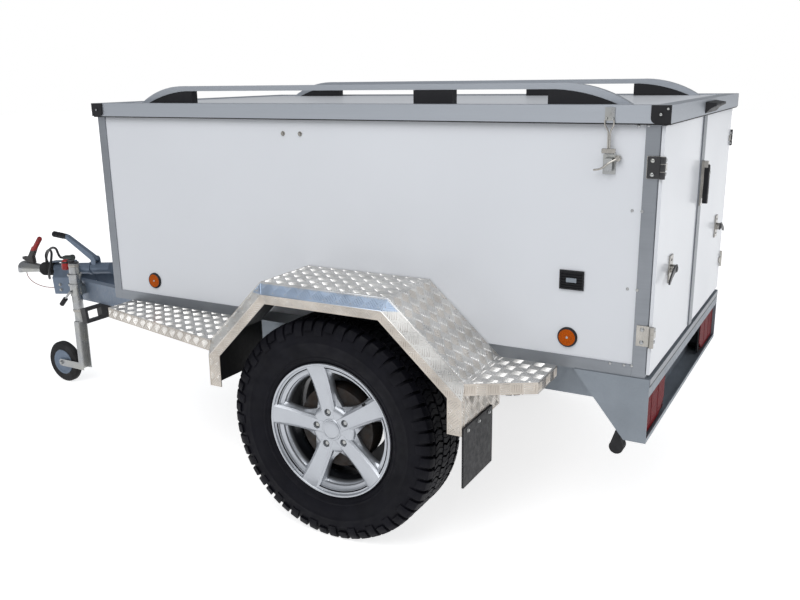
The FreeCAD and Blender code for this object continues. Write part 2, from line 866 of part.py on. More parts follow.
def lid_latch_hook():
    """The keeper on the lid's side, with the pull rod that hangs from it."""
    x = box_rear + latch_inset
    y0 = lid_side + seat_gap
    mid = (box_top + lid_top) / 2
    plate = block(x - latch_plate_width / 2, x + latch_plate_width / 2, y0, y0 + latch_plate_thickness,
                  mid - latch_plate_height / 2, mid + latch_plate_height / 2)
    rod_y = y0 + latch_plate_thickness + latch_rod_radius
    pull_z0 = latch_body_z + latch_body_height / 2 + seat_gap * 3
    pull = rod(vec(x, rod_y, pull_z0), vec(x, rod_y, mid), latch_rod_radius)
    bridge = rod(vec(x, y0, mid), vec(x, rod_y, mid), latch_rod_radius)
    return plate.fuse(pull).fuse(bridge).removeSplitter()


reflectors = [reflector(box_front - reflector_front_inset), reflector(box_rear + reflector_rear_inset)]
add("side_reflectors", [piece for r in reflectors for piece in both_sides(r)])
add("side_vents", both_sides(side_vent()))
add("latch_bodies", both_sides(lid_latch_body()))
add("latch_hooks", both_sides(lid_latch_hook()))


# Door fittings

def door_catch():
    """A small catch on the outer half of each door."""
    x1 = door_x0 - seat_gap
    plate = block(x1 - catch_plate_thickness, x1, catch_y - catch_width / 2, catch_y + catch_width / 2,
                  catch_z - catch_height / 2, catch_z + catch_height / 2)
    knob = rod(vec(x1 - catch_reach, catch_y, catch_z), vec(x1 - catch_plate_thickness / 2, catch_y, catch_z),
               catch_knob_radius)
    return plate.fuse(knob).removeSplitter()


def door_lock():
    """The upright lever lock on the meeting strip."""
    x1 = door_x0 - seat_gap * 2 - astragal_thickness
    plate = block(x1 - catch_plate_thickness, x1, -lock_width / 2, lock_width / 2,
                  lock_z - lock_height / 2, lock_z + lock_height / 2)
    lever = block(x1 - lock_reach, x1 - catch_plate_thickness / 2, -lock_width / 4, lock_width / 4,
                  lock_z - lock_height / 3, lock_z + lock_height / 2)
    return plate.fuse(lever).removeSplitter()


add("door_catch_left", door_catch())
add("door_latches_right", [mirrored(door_catch()), door_lock()])


# Chassis

rail_front_end = box_front - rail_front_set_back
rail_rear_end = box_rear - beam_reach + beam_depth + seat_gap
rail_top = box_bottom - seat_gap


def chassis_rail():
    """A channel rail, open inwards."""
    outer = block(rail_rear_end, rail_front_end, rail_outer - rail_flange, rail_outer,
                  rail_top - rail_height, rail_top)
    room = block(rail_rear_end - overrun, rail_front_end + overrun,
                 rail_outer - rail_flange - overrun, rail_outer - rail_wall,
                 rail_top - rail_height + rail_wall, rail_top - rail_wall)
    return outer.cut(room)


def cross_members():
    found = []
    span = rail_front_end - rail_rear_end
    half = rail_outer - rail_flange - seat_gap
    for share in cross_member_shares:
        x = rail_rear_end + span * share
        found.append(block(x - cross_member_width / 2, x + cross_member_width / 2, -half, half,
                           rail_top - cross_member_height, rail_top))
    return found


def outriggers():
    """Square bearers from the chassis rail out under the running board and the step."""
    y0 = rail_outer + seat_gap
    z1 = box_bottom - sheet - seat_gap
    board_rear = axle_x + fender_foot_ahead
    step_front = axle_x - fender_foot_behind
    middles = [board_rear + board_length * share for share in outrigger_shares]
    middles.append(step_front - step_length / 2)
    return [block(x - outrigger_size / 2, x + outrigger_size / 2, y0, y0 + outrigger_length,
                  z1 - outrigger_size, z1) for x in middles]


add("chassis_rails", both_sides(chassis_rail()))
add("cross_members", cross_members() + [piece for bearer in outriggers() for piece in both_sides(bearer)])


# Tail beam, side plates and lamps

beam_rear = box_rear - beam_reach
beam_half = box_side - seat_gap


def tail_beam():
    """A channel open to the rear, with a lip along its top and bottom edges."""
    z1 = rail_top
    z0 = z1 - beam_height
    body = block(beam_rear, beam_rear + beam_depth, -beam_half, beam_half, z0, z1)
    room = block(beam_rear + beam_wall, beam_rear + beam_depth - beam_wall,
                 -beam_half - overrun, beam_half + overrun, z0 + beam_wall, z1 - beam_wall)
    mouth = block(beam_rear - overrun, beam_rear + beam_wall + overrun,
                  -beam_half - overrun, beam_half + overrun, z0 + beam_bottom_lip, z1 - beam_top_lip)
    return body.cut(room).cut(mouth)


def side_plate():
    """A plate on the end of the tail beam, slanted at its lower front."""
    z1 = rail_top
    z0 = z1 - beam_height
    outline = [(beam_rear, z0), (beam_rear, z1), (beam_rear + side_plate_top_length, z1),
               (beam_rear + side_plate_bottom_length, z0)]
    return side_prism(outline, box_side, box_side + side_plate_wall)


def tail_lamp():
    """A flat lens in front of its black housing, both with the lower inner corner cut off."""
    z0 = rail_top - beam_height + lamp_above_beam_bottom
    z1 = z0 + lamp_height
    y1 = beam_half - lamp_inset
    y0 = y1 - lamp_width
    outline = [(y1, z0), (y1, z1), (y0, z1), (y0, z0 + lamp_corner_height), (y0 + lamp_corner_width, z0)]
    lens_x0 = beam_rear + lamp_set_back
    lens_x1 = lens_x0 + lamp_lens_depth
    housing_x1 = beam_rear + beam_depth - beam_wall - seat_gap
    lens = prism([vec(lens_x0, y, z) for y, z in outline], vec(lamp_lens_depth, 0, 0))
    back_x0 = lens_x1 + seat_gap
    back = prism([vec(back_x0, y, z) for y, z in outline], vec(housing_x1 - back_x0, 0, 0))
    return [lens, back]


def plate_lamp():
    """The lamp under the top of the tail beam that lights a number plate."""
    z1 = rail_top - beam_wall - seat_gap
    x1 = beam_rear + beam_depth - beam_wall - seat_gap
    return block(x1 - plate_lamp_depth, x1, -plate_lamp_width / 2 - plate_lamp_offset,
                 plate_lamp_width / 2 - plate_lamp_offset, z1 - plate_lamp_height, z1)


def tail_buffer():
    """A round rubber buffer inside the lower front of each side plate."""
    x = beam_rear + side_plate_bottom_length + buffer_ahead
    z = rail_top - beam_height - buffer_below
    y1 = box_side - seat_gap
    pad = Part.makeCylinder(buffer_radius, buffer_width, vec(x, y1 - buffer_width, z), vec(0, 1, 0))
    neck = side_prism([(x - buffer_radius, z), (x, z + buffer_neck), (x + buffer_radius, z)],
                      y1 - buffer_width, y1)
    return pad.fuse(neck).removeSplitter()


add("tail_beam", tail_beam())
add("side_plates", both_sides(side_plate()))
add("tail_lamps", [half for piece in tail_lamp() for half in both_sides(piece)] + [plate_lamp()])
add("tail_buffers", both_sides(tail_buffer()))


# Axle

axle_beam_x = axle_x + axle_ahead_of_wheel
axle_beam_z = tyre_radius + axle_above_wheel
half_tube = axle_tube_size / 2


def axle_beam():
    tube = block(axle_beam_x - half_tube, axle_beam_x + half_tube, -rail_outer, rail_outer,
                 axle_beam_z - half_tube, axle_beam_z + half_tube)
    for y in (rail_outer - rail_flange, -rail_outer):
        tube = tube.fuse(block(axle_beam_x - axle_bracket_width, axle_beam_x + axle_bracket_width,
                               y, y + rail_flange, axle_beam_z,
                               rail_top - rail_height - seat_gap))
    return tube


wheel_y = box_width / 2 + tyre_gap + tyre_width / 2
hub_face_y = wheel_y + rim_width / 2 - spoke_inset - spoke_thickness


def axle_arm():
    """A trailing arm from the axle tube to the wheel, with the spindle, back plate and stub axle."""
    y0 = rail_outer + seat_gap
    y1 = y0 + arm_thickness
    arm = Part.makeCylinder(arm_boss_radius, arm_thickness, vec(axle_beam_x, y0, axle_beam_z), vec(0, 1, 0))
    arm = arm.fuse(rod(vec(axle_x, y0, tyre_radius), vec(axle_x, y1, tyre_radius), arm_boss_radius))
    dx, dz = axle_beam_x - axle_x, axle_beam_z - tyre_radius
    length = math.hypot(dx, dz)
    nx, nz = -dz / length * arm_boss_radius, dx / length * arm_boss_radius
    web = side_prism([(axle_x + nx, tyre_radius + nz), (axle_beam_x + nx, axle_beam_z + nz),
                      (axle_beam_x - nx, axle_beam_z - nz), (axle_x - nx, tyre_radius - nz)], y0, y1)
    spindle = rod(vec(axle_x, y1 - arm_thickness / 2, tyre_radius),
                  vec(axle_x, drum_y0 - brake_running_gap, tyre_radius), spindle_radius)
    plate = rod(vec(axle_x, drum_y0 - brake_running_gap - back_plate_thickness, tyre_radius),
                vec(axle_x, drum_y0 - brake_running_gap, tyre_radius), drum_radius)
    stub = rod(vec(axle_x, drum_y0 - back_plate_thickness, tyre_radius),
               vec(axle_x, hub_face_y + stub_past_drum, tyre_radius), stub_radius)
    return arm.fuse(web).fuse(spindle).fuse(plate).fuse(stub).removeSplitter()


drum_y1 = hub_face_y - seat_gap
drum_y0 = drum_y1 - drum_width


def brake_drum():
    """The left drum with its hub, bored for the stub axle and closed at the outer end."""
    stub_end = hub_face_y + stub_past_drum + seat_gap
    drum = rod(vec(axle_x, drum_y0, tyre_radius), vec(axle_x, drum_y1, tyre_radius), drum_radius)
    spigot = rod(vec(axle_x, drum_y0, tyre_radius), vec(axle_x, stub_end + hub_wall_past_stub, tyre_radius),
                 hub_bore_radius - seat_gap)
    bore = rod(vec(axle_x, drum_y0 - overrun, tyre_radius), vec(axle_x, stub_end, tyre_radius),
               stub_radius + seat_gap)
    return drum.fuse(spigot).cut(bore).removeSplitter()


left_drum = brake_drum()
add("axle", [axle_beam()] + both_sides(axle_arm()))
add("brake_drum_left", left_drum)
add("brake_drum_right", mirrored(left_drum))


# Wheels

def tyre():
    """The left tyre's section, shouldered below its crown, turned round the wheel's axis."""
    half = tyre_width / 2
    shoulder_r = tyre_radius - tread_groove_depth * 2
    wall_r = (flange_radius + tyre_radius) / 2
    profile = [(bead_radius, -rim_width / 2), (flange_radius, -rim_width / 2), (wall_r, -half),
               (shoulder_r, -half * tyre_shoulder_share), (tyre_radius, -half * tyre_crown_share),
               (tyre_radius, half * tyre_crown_share), (shoulder_r, half * tyre_shoulder_share),
               (wall_r, half), (flange_radius, rim_width / 2), (bead_radius, rim_width / 2)]
    return turned(profile, vec(axle_x, wheel_y, tyre_radius), vec(0, 1, 0))


def rim_barrel():
    """The barrel between its two flanges, stepped inside the outer lip."""
    half = rim_width / 2
    out = bead_radius - seat_gap
    inside = out - rim_wall
    face = half + rim_flange_thickness
    seat = half + seat_gap
    profile = [(inside, -face), (flange_radius, -face), (flange_radius, -seat), (out, -seat), (out, seat),
               (flange_radius, seat), (flange_radius, face - rim_lip_bevel),
               (flange_radius - rim_lip_bevel, face), (out, face), (inside + rim_step, half),
               (inside + rim_step, half - rim_step_depth), (inside, half - rim_step_depth)]
    return turned(profile, vec(0, 0, 0), vec(0, 1, 0))


def wheel_window():
    """The rounded opening between two spokes, its middle towards +X."""
    half_angle = math.pi / spoke_count
    root_width = spoke_width_inner / 2
    taper = (root_width - spoke_width_outer / 2) / bead_radius
    apex = root_width / (math.tan(half_angle) + taper) / math.cos(half_angle)
    reach = bead_radius + 2 * overrun
    edge = root_width - taper * reach
    far_x = reach * math.cos(half_angle) + edge * math.sin(half_angle)
    far_z = reach * math.sin(half_angle) - edge * math.cos(half_angle)
    depth = spoke_thickness + 2 * overrun
    opening = side_prism([(apex, 0), (far_x, far_z), (far_x, -far_z)], 0, depth)
    opening = opening.common(Part.makeCylinder(window_radius, depth, vec(0, 0, 0), vec(0, 1, 0)))
    along = [e for e in opening.Edges if e.BoundBox.YLength > depth - seat_gap]
    inner = [e for e in along if e.CenterOfMass.x < apex + overrun]
    opening = opening.makeFillet(spoke_root_radius, inner)
    along = [e for e in opening.Edges if e.BoundBox.YLength > depth - seat_gap]
    outer = [e for e in along if math.hypot(e.CenterOfMass.x, e.CenterOfMass.z) > window_radius - seat_gap]
    return opening.makeFillet(window_corner_radius, outer)


def spoke_channel(front):
    """The shallow round-ended channel along the middle of a spoke that points to +X."""
    half = channel_width / 2
    low = front - channel_depth
    high = front + overrun
    slot = block(channel_start, channel_end, low, high, -half, half)
    for x in (channel_start, channel_end):
        slot = slot.fuse(Part.makeCylinder(half, high - low, vec(x, low, 0), vec(0, 1, 0)))
    return slot.removeSplitter()


def rim():
    """The left wheel: a barrel with five facetted spokes, recessed lug holes and a low centre cap."""
    front = rim_width / 2 - spoke_inset
    back = front - spoke_thickness
    edge = bead_radius - seat_gap - rim_wall / 2
    origin = vec(0, 0, 0)
    along = vec(0, 1, 0)
    face = rod(vec(0, back, 0), vec(0, front, 0), edge)
    window = wheel_window()
    window.translate(vec(0, back - overrun, 0))
    channel = spoke_channel(front)
    step = 360 / spoke_count
    for k in range(spoke_count):
        turn = -(spoke_turn_deg + step * k)
        face = face.cut(window.rotated(origin, along, turn - step / 2))
    middles = [(e, e.CenterOfMass) for e in face.Edges]
    rims = [e for e, m in middles if m.y > front - seat_gap and math.hypot(m.x, m.z) > lug_circle_radius]
    face = face.makeChamfer(spoke_facet, rims)
    for k in range(spoke_count):
        turn = -(spoke_turn_deg + step * k)
        angle = math.radians(-turn)
        at_x, at_z = lug_circle_radius * math.cos(angle), lug_circle_radius * math.sin(angle)
        face = face.cut(channel.rotated(origin, along, turn))
        face = face.cut(rod(vec(at_x, back - overrun, at_z), vec(at_x, front + overrun, at_z),
                            lug_hole_radius))
        face = face.cut(rod(vec(at_x, front - lug_recess_depth, at_z), vec(at_x, front + overrun, at_z),
                            lug_recess_radius))
    bore = rod(vec(0, back - overrun, 0), vec(0, back + hub_bore_depth, 0), hub_bore_radius)
    cap = rod(vec(0, front - seat_gap, 0), vec(0, front - seat_gap + centre_cap_height, 0), centre_cap_radius)
    wheel = rim_barrel().fuse(face).cut(bore).fuse(cap).removeSplitter()
    wheel.translate(vec(axle_x, wheel_y, tyre_radius))
    return wheel


left_tyre, left_rim = tyre(), rim()
add("tyre_left", left_tyre)
add("tyre_right", mirrored(left_tyre))
add("wheel_left", left_rim)
add("wheel_right", mirrored(left_rim))


# Fenders, boards, steps, flaps

fender_inner = box_side + seat_gap
board_top = box_bottom


def fender_line():
    """The fender's outline over the wheel, from its front foot to its rear foot."""
    foot = board_top - fender_foot_drop
    return [(axle_x - fender_foot_behind, foot), (axle_x - fender_foot_behind, board_top),
            (axle_x - fender_top_behind, fender_top), (axle_x + fender_top_ahead, fender_top),
            (axle_x + fender_foot_ahead, board_top), (axle_x + fender_foot_ahead, foot)]


def fender_solid(inset, flat_y, side_y, start_y):
    """The fender's mass out to its bevelled side, inset by a thickness."""
    line = offset_outline(fender_line(), [inset] * 5)
    bevel = offset_outline(fender_line(), [inset, inset + fender_bevel_drop, inset + fender_bevel_drop,
                                           inset + fender_bevel_drop, inset])
    body = side_prism(line, start_y, flat_y)
    rims = [Part.makePolygon([vec(x, flat_y, z) for x, z in line + [line[0]]]),
            Part.makePolygon([vec(x, side_y, z) for x, z in bevel + [bevel[0]]])]
    return body.fuse(Part.makeLoft(rims, True, True))


def fender():
    outer = fender_solid(0, fender_flat_outer, fender_side, fender_inner)
    inner = fender_solid(sheet, fender_flat_outer, fender_side - sheet, fender_inner - overrun)
    foot = board_top - fender_foot_drop
    below = block(axle_x - fender_foot_behind + sheet, axle_x + fender_foot_ahead - sheet,
                  fender_inner - overrun, fender_side - sheet, foot - overrun, foot + overrun)
    mouth_line = offset_outline(fender_line(), [fender_foot_skirt, fender_skirt, fender_skirt,
                                                fender_skirt, fender_foot_skirt])
    mouth = side_prism(mouth_line, fender_side - sheet - overrun, fender_side + overrun)
    mouth_below = block(axle_x - fender_foot_behind + fender_foot_skirt,
                        axle_x + fender_foot_ahead - fender_foot_skirt,
                        fender_side - sheet - overrun, fender_side + overrun, foot - overrun, foot + overrun)
    return outer.cut(inner).cut(below).cut(mouth).cut(mouth_below)


def tray(outline, skirts, drop):
    """A flat plate with folded skirts along the named sides."""
    plate = plan_prism(outline, board_top - sheet, board_top)
    for k in skirts:
        (x0, y0), (x1, y1) = outline[k], outline[(k + 1) % len(outline)]
        length = math.hypot(x1 - x0, y1 - y0)
        nx, ny = -(y1 - y0) / length * sheet, (x1 - x0) / length * sheet
        strip = [(x0, y0), (x1, y1), (x1 + nx, y1 + ny), (x0 + nx, y0 + ny)]
        plate = plate.fuse(plan_prism(strip, board_top - drop, board_top))
    body = plan_prism(outline, board_top - drop, board_top)
    return plate.common(body)


def running_board():
    rear = axle_x + fender_foot_ahead + seat_gap
    front = rear + board_length
    outline = [(rear, fender_inner), (front, fender_inner), (front, board_front_outer),
               (rear, board_rear_outer)]
    return tray(outline, [1, 2], board_skirt)


def rear_step():
    front = axle_x - fender_foot_behind - seat_gap
    rear = front - step_length
    outline = [(front, fender_inner), (front, step_front_outer), (rear, step_rear_outer),
               (rear, fender_inner)]
    return tray(outline, [1, 2], step_skirt)


def mud_flap():
    x1 = axle_x - fender_foot_behind - seat_gap
    z1 = board_top - fender_foot_drop + flap_lap
    y1 = fender_side - sheet
    return block(x1 - flap_thickness, x1, y1 - flap_width, y1, z1 - flap_height, z1)


left_fender = fender()
add("fender_left", left_fender)
add("fender_right", mirrored(left_fender))
add("running_boards", both_sides(running_board()))
add("rear_steps", both_sides(rear_step()))
add("mud_flaps", both_sides(mud_flap()))


# Drawbar

tilt_x = box_front + tilt_ahead_of_box
leg_slope = (rail_outer + leg_past_rail - leg_front_y) / (tilt_x - rail_front_end)
jockey_y = leg_front_y + jockey_behind * leg_slope + jockey_past_leg


def tilted(shape, degrees):
    """Turn a piece of the drawbar down about the tilt line."""
    shape.rotate(vec(tilt_x, 0, tilt_z), vec(0, 1, 0), degrees)
    return shape


def drawbar_leg():
    """A channel leg from the housing back to the end of the chassis rail, spread outwards."""
    x1 = tilt_x
    x0 = rail_front_end - overrun
    y1 = leg_front_y
    y0 = y1 + (x1 - x0) * leg_slope
    z1 = tilt_z
    outer = plan_prism([(x0, y0), (x1, y1), (x1, y1 - leg_flange), (x0, y0 - leg_flange)],
                       z1 - leg_depth_front, z1)
    room_y0 = y0 + overrun * leg_slope - leg_wall
    room_y1 = y1 - overrun * leg_slope - leg_wall
    side = [(x0 - overrun, z1 - leg_depth_rear), (x1, z1 - leg_depth_front), (x1, z1), (x0 - overrun, z1)]
    taper = side_prism(side, 0, y0 + leg_flange)
    inner_side = [(x0 - overrun, z1 - leg_depth_rear + leg_wall),
                  (x1 + overrun, z1 - leg_depth_front + leg_wall),
                  (x1 + overrun, z1 - leg_wall), (x0 - overrun, z1 - leg_wall)]
    room_plan = plan_prism([(x0 - overrun, room_y0), (x1 + overrun, room_y1),
                            (x1 + overrun, -leg_flange), (x0 - overrun, -leg_flange)],
                           z1 - leg_depth_front, z1)
    room = room_plan.common(side_prism(inner_side, -leg_flange, y0 + leg_flange))
    leg = tilted(outer.common(taper).cut(room), leg_tilt_deg)
    above = block(x0 - leg_depth_front, x1, -box_side, box_side, rail_top, rail_top + leg_depth_front)
    behind = block(x0 - leg_depth_front, rail_front_end + seat_gap, -box_side, box_side,
                   rail_top - leg_depth_front * 2, rail_top + leg_depth_front)
    return leg.cut(above).cut(behind)


add("drawbar_legs", both_sides(drawbar_leg()))

axis_z = tilt_z + overrun_axis_above
tube_front = tilt_x + overrun_tube_ahead
tube_top = axis_z + overrun_radius


def housing_section(inset, bottom):
    """The housing's bell-shaped section as (y, z) pairs, inset by a thickness."""
    side = housing_width / 2 - inset
    top = housing_top_width / 2 - inset
    z_fold = tilt_z + housing_fold_above
    z_top = tilt_z + housing_top_above - inset
    return [(side, bottom), (side, z_fold), (top, z_top), (-top, z_top), (-side, z_fold), (-side, bottom)]


def overrun_housing():
    """The pressed housing at the front of the legs, with the overrun tube through it."""
    x0 = tilt_x + seat_gap
    bottom = tilt_z - housing_below
    outer = prism([vec(x0, y, z) for y, z in housing_section(0, bottom)], vec(housing_length, 0, 0))
    inner = prism([vec(x0 - overrun, y, z) for y, z in housing_section(housing_wall, bottom - overrun)],
                  vec(housing_length + overrun - housing_wall, 0, 0))
    shell = outer.cut(inner)
    tube = rod(vec(tilt_x - overrun_tube_behind, 0, axis_z), vec(tube_front, 0, axis_z), overrun_radius)
    collar_x = tilt_x - overrun_collar_behind
    collar = rod(vec(collar_x, 0, axis_z), vec(collar_x + overrun_collar_length, 0, axis_z),
                 overrun_collar_radius)
    return shell.fuse(tube).fuse(collar)


dome_radius = ball_radius + head_wall
tilt_angle = math.radians(tow_tilt_deg)
ball_z = axis_z + head_rise
ball_ahead = nose_x - dome_radius - tilt_x
ball_x = tilt_x + (ball_ahead - (ball_z - tilt_z) * math.sin(tilt_angle)) / math.cos(tilt_angle)
bellows_x0 = tube_front + seat_gap
bellows_x1 = bellows_x0 + bellows_length
neck_x1 = bellows_x1 + seat_gap + head_collar_length


def circle_wire(x, z, radius):
    return Part.Wire(Part.makeCircle(radius, vec(x, 0, z), vec(1, 0, 0)))


def coupling_head():
    """The head on its draw tube, swelling to a dome and hollowed from below for the tow ball."""
    draw = rod(vec(tube_front + seat_gap, 0, axis_z), vec(neck_x1, 0, axis_z), draw_tube_radius)
    collar = rod(vec(bellows_x1 + seat_gap, 0, axis_z), vec(neck_x1, 0, axis_z), head_neck_radius)
    rings = [circle_wire(neck_x1, axis_z, head_neck_radius), circle_wire(ball_x, ball_z, dome_radius)]
    swell = Part.makeLoft(rings, True)
    centre = vec(ball_x, 0, ball_z)
    down = vec(0, 0, -1)
    head = collar.fuse(swell).fuse(Part.makeSphere(dome_radius, centre))
    below = Part.makeBox(nose_x - tilt_x, dome_radius * 3, dome_radius * 2,
                         vec(bellows_x1, -dome_radius * 3 / 2, ball_z - socket_skirt - dome_radius * 2))
    head = head.fuse(Part.makeCylinder(dome_radius, socket_skirt, centre, down)).cut(below)
    ball = Part.makeSphere(ball_radius, centre)
    mouth = Part.makeCylinder(ball_radius, dome_radius + overrun, centre, down)
    return tilted(head.cut(ball).cut(mouth).fuse(draw), tow_tilt_deg)


def bellows():
    """The rubber bellows round the draw tube, folded all along."""
    pitch = bellows_length / bellows_folds
    points = [(bellows_x0, axis_z + draw_tube_radius + seat_gap)]
    for k in range(bellows_folds):
        start = bellows_x0 + pitch * k
        points.append((start, axis_z + bellows_radius - bellows_fold_depth))
        points.append((start + pitch / 2, axis_z + bellows_radius))
    points.append((bellows_x1, axis_z + bellows_radius - bellows_fold_depth))
    points.append((bellows_x1, axis_z + draw_tube_radius + seat_gap))
    face = Part.Face(Part.makePolygon([vec(x, 0, z) for x, z in points + [points[0]]]))
    return tilted(face.revolve(vec(bellows_x0, 0, axis_z), vec(1, 0, 0), 360), tow_tilt_deg)


def coupling_handle():
    """The lever on top of the head: a base with a forward arm, and a grip that leans back."""
    x = nose_x - coupling_handle_behind
    top_of_neck = axis_z + head_neck_radius
    slope = (ball_z + dome_radius - top_of_neck) / (ball_x - neck_x1)
    rear = x - coupling_handle_foot / 2
    front = x + coupling_handle_foot / 2
    z = top_of_neck + (rear - neck_x1) * slope + seat_gap
    size = coupling_handle_height
    half = coupling_handle_width / 2
    foot = [(rear, z), (front, z + coupling_handle_foot * slope)]
    above = [(x + sx * size, z + sz * size) for sx, sz in coupling_handle_outline_shares]
    base = side_prism(foot + above, -half, half)
    ends = [vec(x + sx * size, 0, z + sz * size) for sx, sz in coupling_grip_shares]
    grip = rod(ends[0], ends[1], coupling_grip_radius)
    grip = grip.fuse(Part.makeSphere(coupling_grip_radius, ends[1]))
    return tilted(base.fuse(grip), tow_tilt_deg)


brake_x = tilt_x - brake_behind
brake_z = tube_top + brake_above_tube


def brake_bracket():
    """Two cheeks on top of the overrun tube with the handbrake's pivot pin between them."""
    y0 = brake_lever_width / 2 + brake_side_gap
    y1 = y0 + brake_cheek_wall
    cheeks = []
    for low, high in ((y0, y1), (-y1, -y0)):
        cheek = block(brake_x - brake_boss_radius, brake_x + brake_boss_radius, low, high, axis_z, brake_z)
        ear = Part.makeCylinder(brake_boss_radius, brake_cheek_wall, vec(brake_x, low, brake_z), vec(0, 1, 0))
        cheeks.append(cheek.fuse(ear))
    pin = rod(vec(brake_x, -y1, brake_z), vec(brake_x, y1, brake_z), brake_pin_radius)
    return cheeks[0].fuse(cheeks[1]).fuse(pin)


def handbrake_lever():
    """A folded lever open underneath that rises forward to a level black grip."""
    half = brake_lever_width / 2
    rise = math.radians(brake_lever_rise_deg)
    dx, dz = math.cos(rise), math.sin(rise)
    end_x = brake_x + brake_lever_length * dx
    end_z = brake_z + brake_lever_length * dz
    low = brake_lever_depth / 2
    tip = brake_lever_tip_depth / 2
    outline = [(brake_x + low * dz, brake_z - low * dx), (end_x + tip * dz, end_z - tip * dx),
               (end_x - tip * dz, end_z + tip * dx), (brake_x - low * dz, brake_z + low * dx)]
    bar = side_prism(outline, -half, half)
    boss = Part.makeCylinder(brake_hub_radius, brake_lever_width, vec(brake_x, -half, brake_z), vec(0, 1, 0))
    under = low - brake_lever_wall
    reach = brake_lever_length - low
    room = side_prism([(brake_x + low * dx + low * 2 * dz, brake_z + low * dz - low * 2 * dx),
                       (brake_x + reach * dx + low * 2 * dz, brake_z + reach * dz - low * 2 * dx),
                       (brake_x + reach * dx - tip * dz + brake_lever_wall * dz,
                        brake_z + reach * dz + tip * dx - brake_lever_wall * dx),
                       (brake_x + low * dx - under * dz, brake_z + low * dz + under * dx)],
                      -half + brake_lever_wall, half - brake_lever_wall)
    grip_rise = math.radians(brake_grip_rise_deg)
    grip_start = vec(end_x, 0, end_z)
    grip_end = vec(end_x + brake_grip_length * math.cos(grip_rise), 0,
                   end_z + brake_grip_length * math.sin(grip_rise))
    grip = rod(grip_start, grip_end, brake_grip_radius)
    grip = grip.fuse(Part.makeSphere(brake_grip_radius, grip_end))
    grip = grip.fuse(Part.makeSphere(brake_grip_radius, grip_start))
    bore = Part.makeCylinder(brake_pin_radius + brake_pin_clear, brake_lever_width + 2 * overrun,
                             vec(brake_x, -half - overrun, brake_z), vec(0, 1, 0))
    return tilted(bar.fuse(boss).cut(room).fuse(grip).cut(bore), tow_tilt_deg)


def park_plate():
    """The strip that carries the parked plug, folded down to the tube at its rear end."""
    x0 = tilt_x + park_plate_behind
    x1 = tilt_x + park_plate_ahead
    half = park_plate_width / 2
    z0 = tilt_z + park_plate_above
    plate = block(x0, x1, -half, half, z0, z0 + park_plate_thickness)
    foot = block(x0, x0 + park_plate_thickness, -half, half, axis_z, z0 + park_plate_thickness)
    return plate.fuse(foot)


def cable_gland():
    """The nut and neck on the housing's front face that the power cable comes out of."""
    x0 = tilt_x + seat_gap + housing_length
    z = tilt_z - gland_below
    nut = rod(vec(x0 - housing_wall, gland_y, z), vec(x0 + gland_nut_length, gland_y, z), gland_radius)
    neck_x1 = x0 + gland_nut_length + gland_neck_length
    neck = rod(vec(x0, gland_y, z), vec(neck_x1, gland_y, z), gland_neck_radius)
    return nut.fuse(neck)


def power_plug():
    """The round plug parked on its plate, with a tapered boot at the cable's end."""
    x1 = tilt_x + plug_front_ahead
    x0 = x1 - plug_length
    z = tilt_z + park_plate_above + park_plate_thickness + seat_gap + plug_radius
    outline = [(x1, 0), (x1, plug_boot_radius), (x1 - plug_boot_length, plug_waist_radius),
               (x0 + plug_ring_length, plug_waist_radius), (x0 + plug_ring_length, plug_radius),
               (x0, plug_radius), (x0, 0)]
    points = [vec(x, 0, z + r) for x, r in outline]
    face = Part.Face(Part.makePolygon(points + [points[0]]))
    return tilted(face.revolve(vec(x0, 0, z), vec(1, 0, 0), 360), tow_tilt_deg)


def cord_tube(name, route, radius):
    """A round cord along straight runs joined by arcs, from points given ahead of the tilt line."""
    points = [vec(tilt_x + x, y, tilt_z + z) for x, y, z in route]
    edges = []
    start = points[0]
    bends = []
    for before, corner, after in zip(points[:-2], points[1:-1], points[2:]):
        back = before.sub(corner)
        ahead = after.sub(corner)
        reach = cord_arc_share * min(back.Length, ahead.Length)
        half_turn = (math.pi - back.getAngle(ahead)) / 2
        bend = reach / math.tan(half_turn)
        back.normalize()
        ahead.normalize()
        inward = back.add(ahead).normalize()
        arc_start = corner.add(back.multiply(reach))
        arc_end = corner.add(ahead.multiply(reach))
        arc_middle = corner.add(inward.multiply(bend / math.cos(half_turn) - bend))
        edges.append(Part.LineSegment(start, arc_start).toShape())
        edges.append(Part.Arc(arc_start, arc_middle, arc_end).toShape())
        bends.append(bend)
        start = arc_end
    edges.append(Part.LineSegment(start, points[-1]).toShape())
    path = Part.Wire(edges)
    ring = Part.Wire(Part.makeCircle(radius, points[0], points[1].sub(points[0])))
    tube = path.makePipeShell([ring], True, False)
    share = tube.Volume / (math.pi * radius ** 2 * path.Length)
    print(name, "length", round(path.Length), "volume share", round(share, 4),
          "radii", [round(bend) for bend in bends])
    return tube


housing = overrun_housing().fuse(brake_bracket()).fuse(park_plate()).fuse(cable_gland())
add("overrun_housing", tilted(housing, tow_tilt_deg))
add("bellows", bellows())
add("coupling_head", coupling_head())
add("coupling_handle", coupling_handle())
add("handbrake_lever", handbrake_lever())
add("power_plug", power_plug())
add("power_cable", cord_tube("power cable", cable_route, cable_radius))
add("breakaway_cable", cord_tube("breakaway cable", breakaway_route, breakaway_radius))


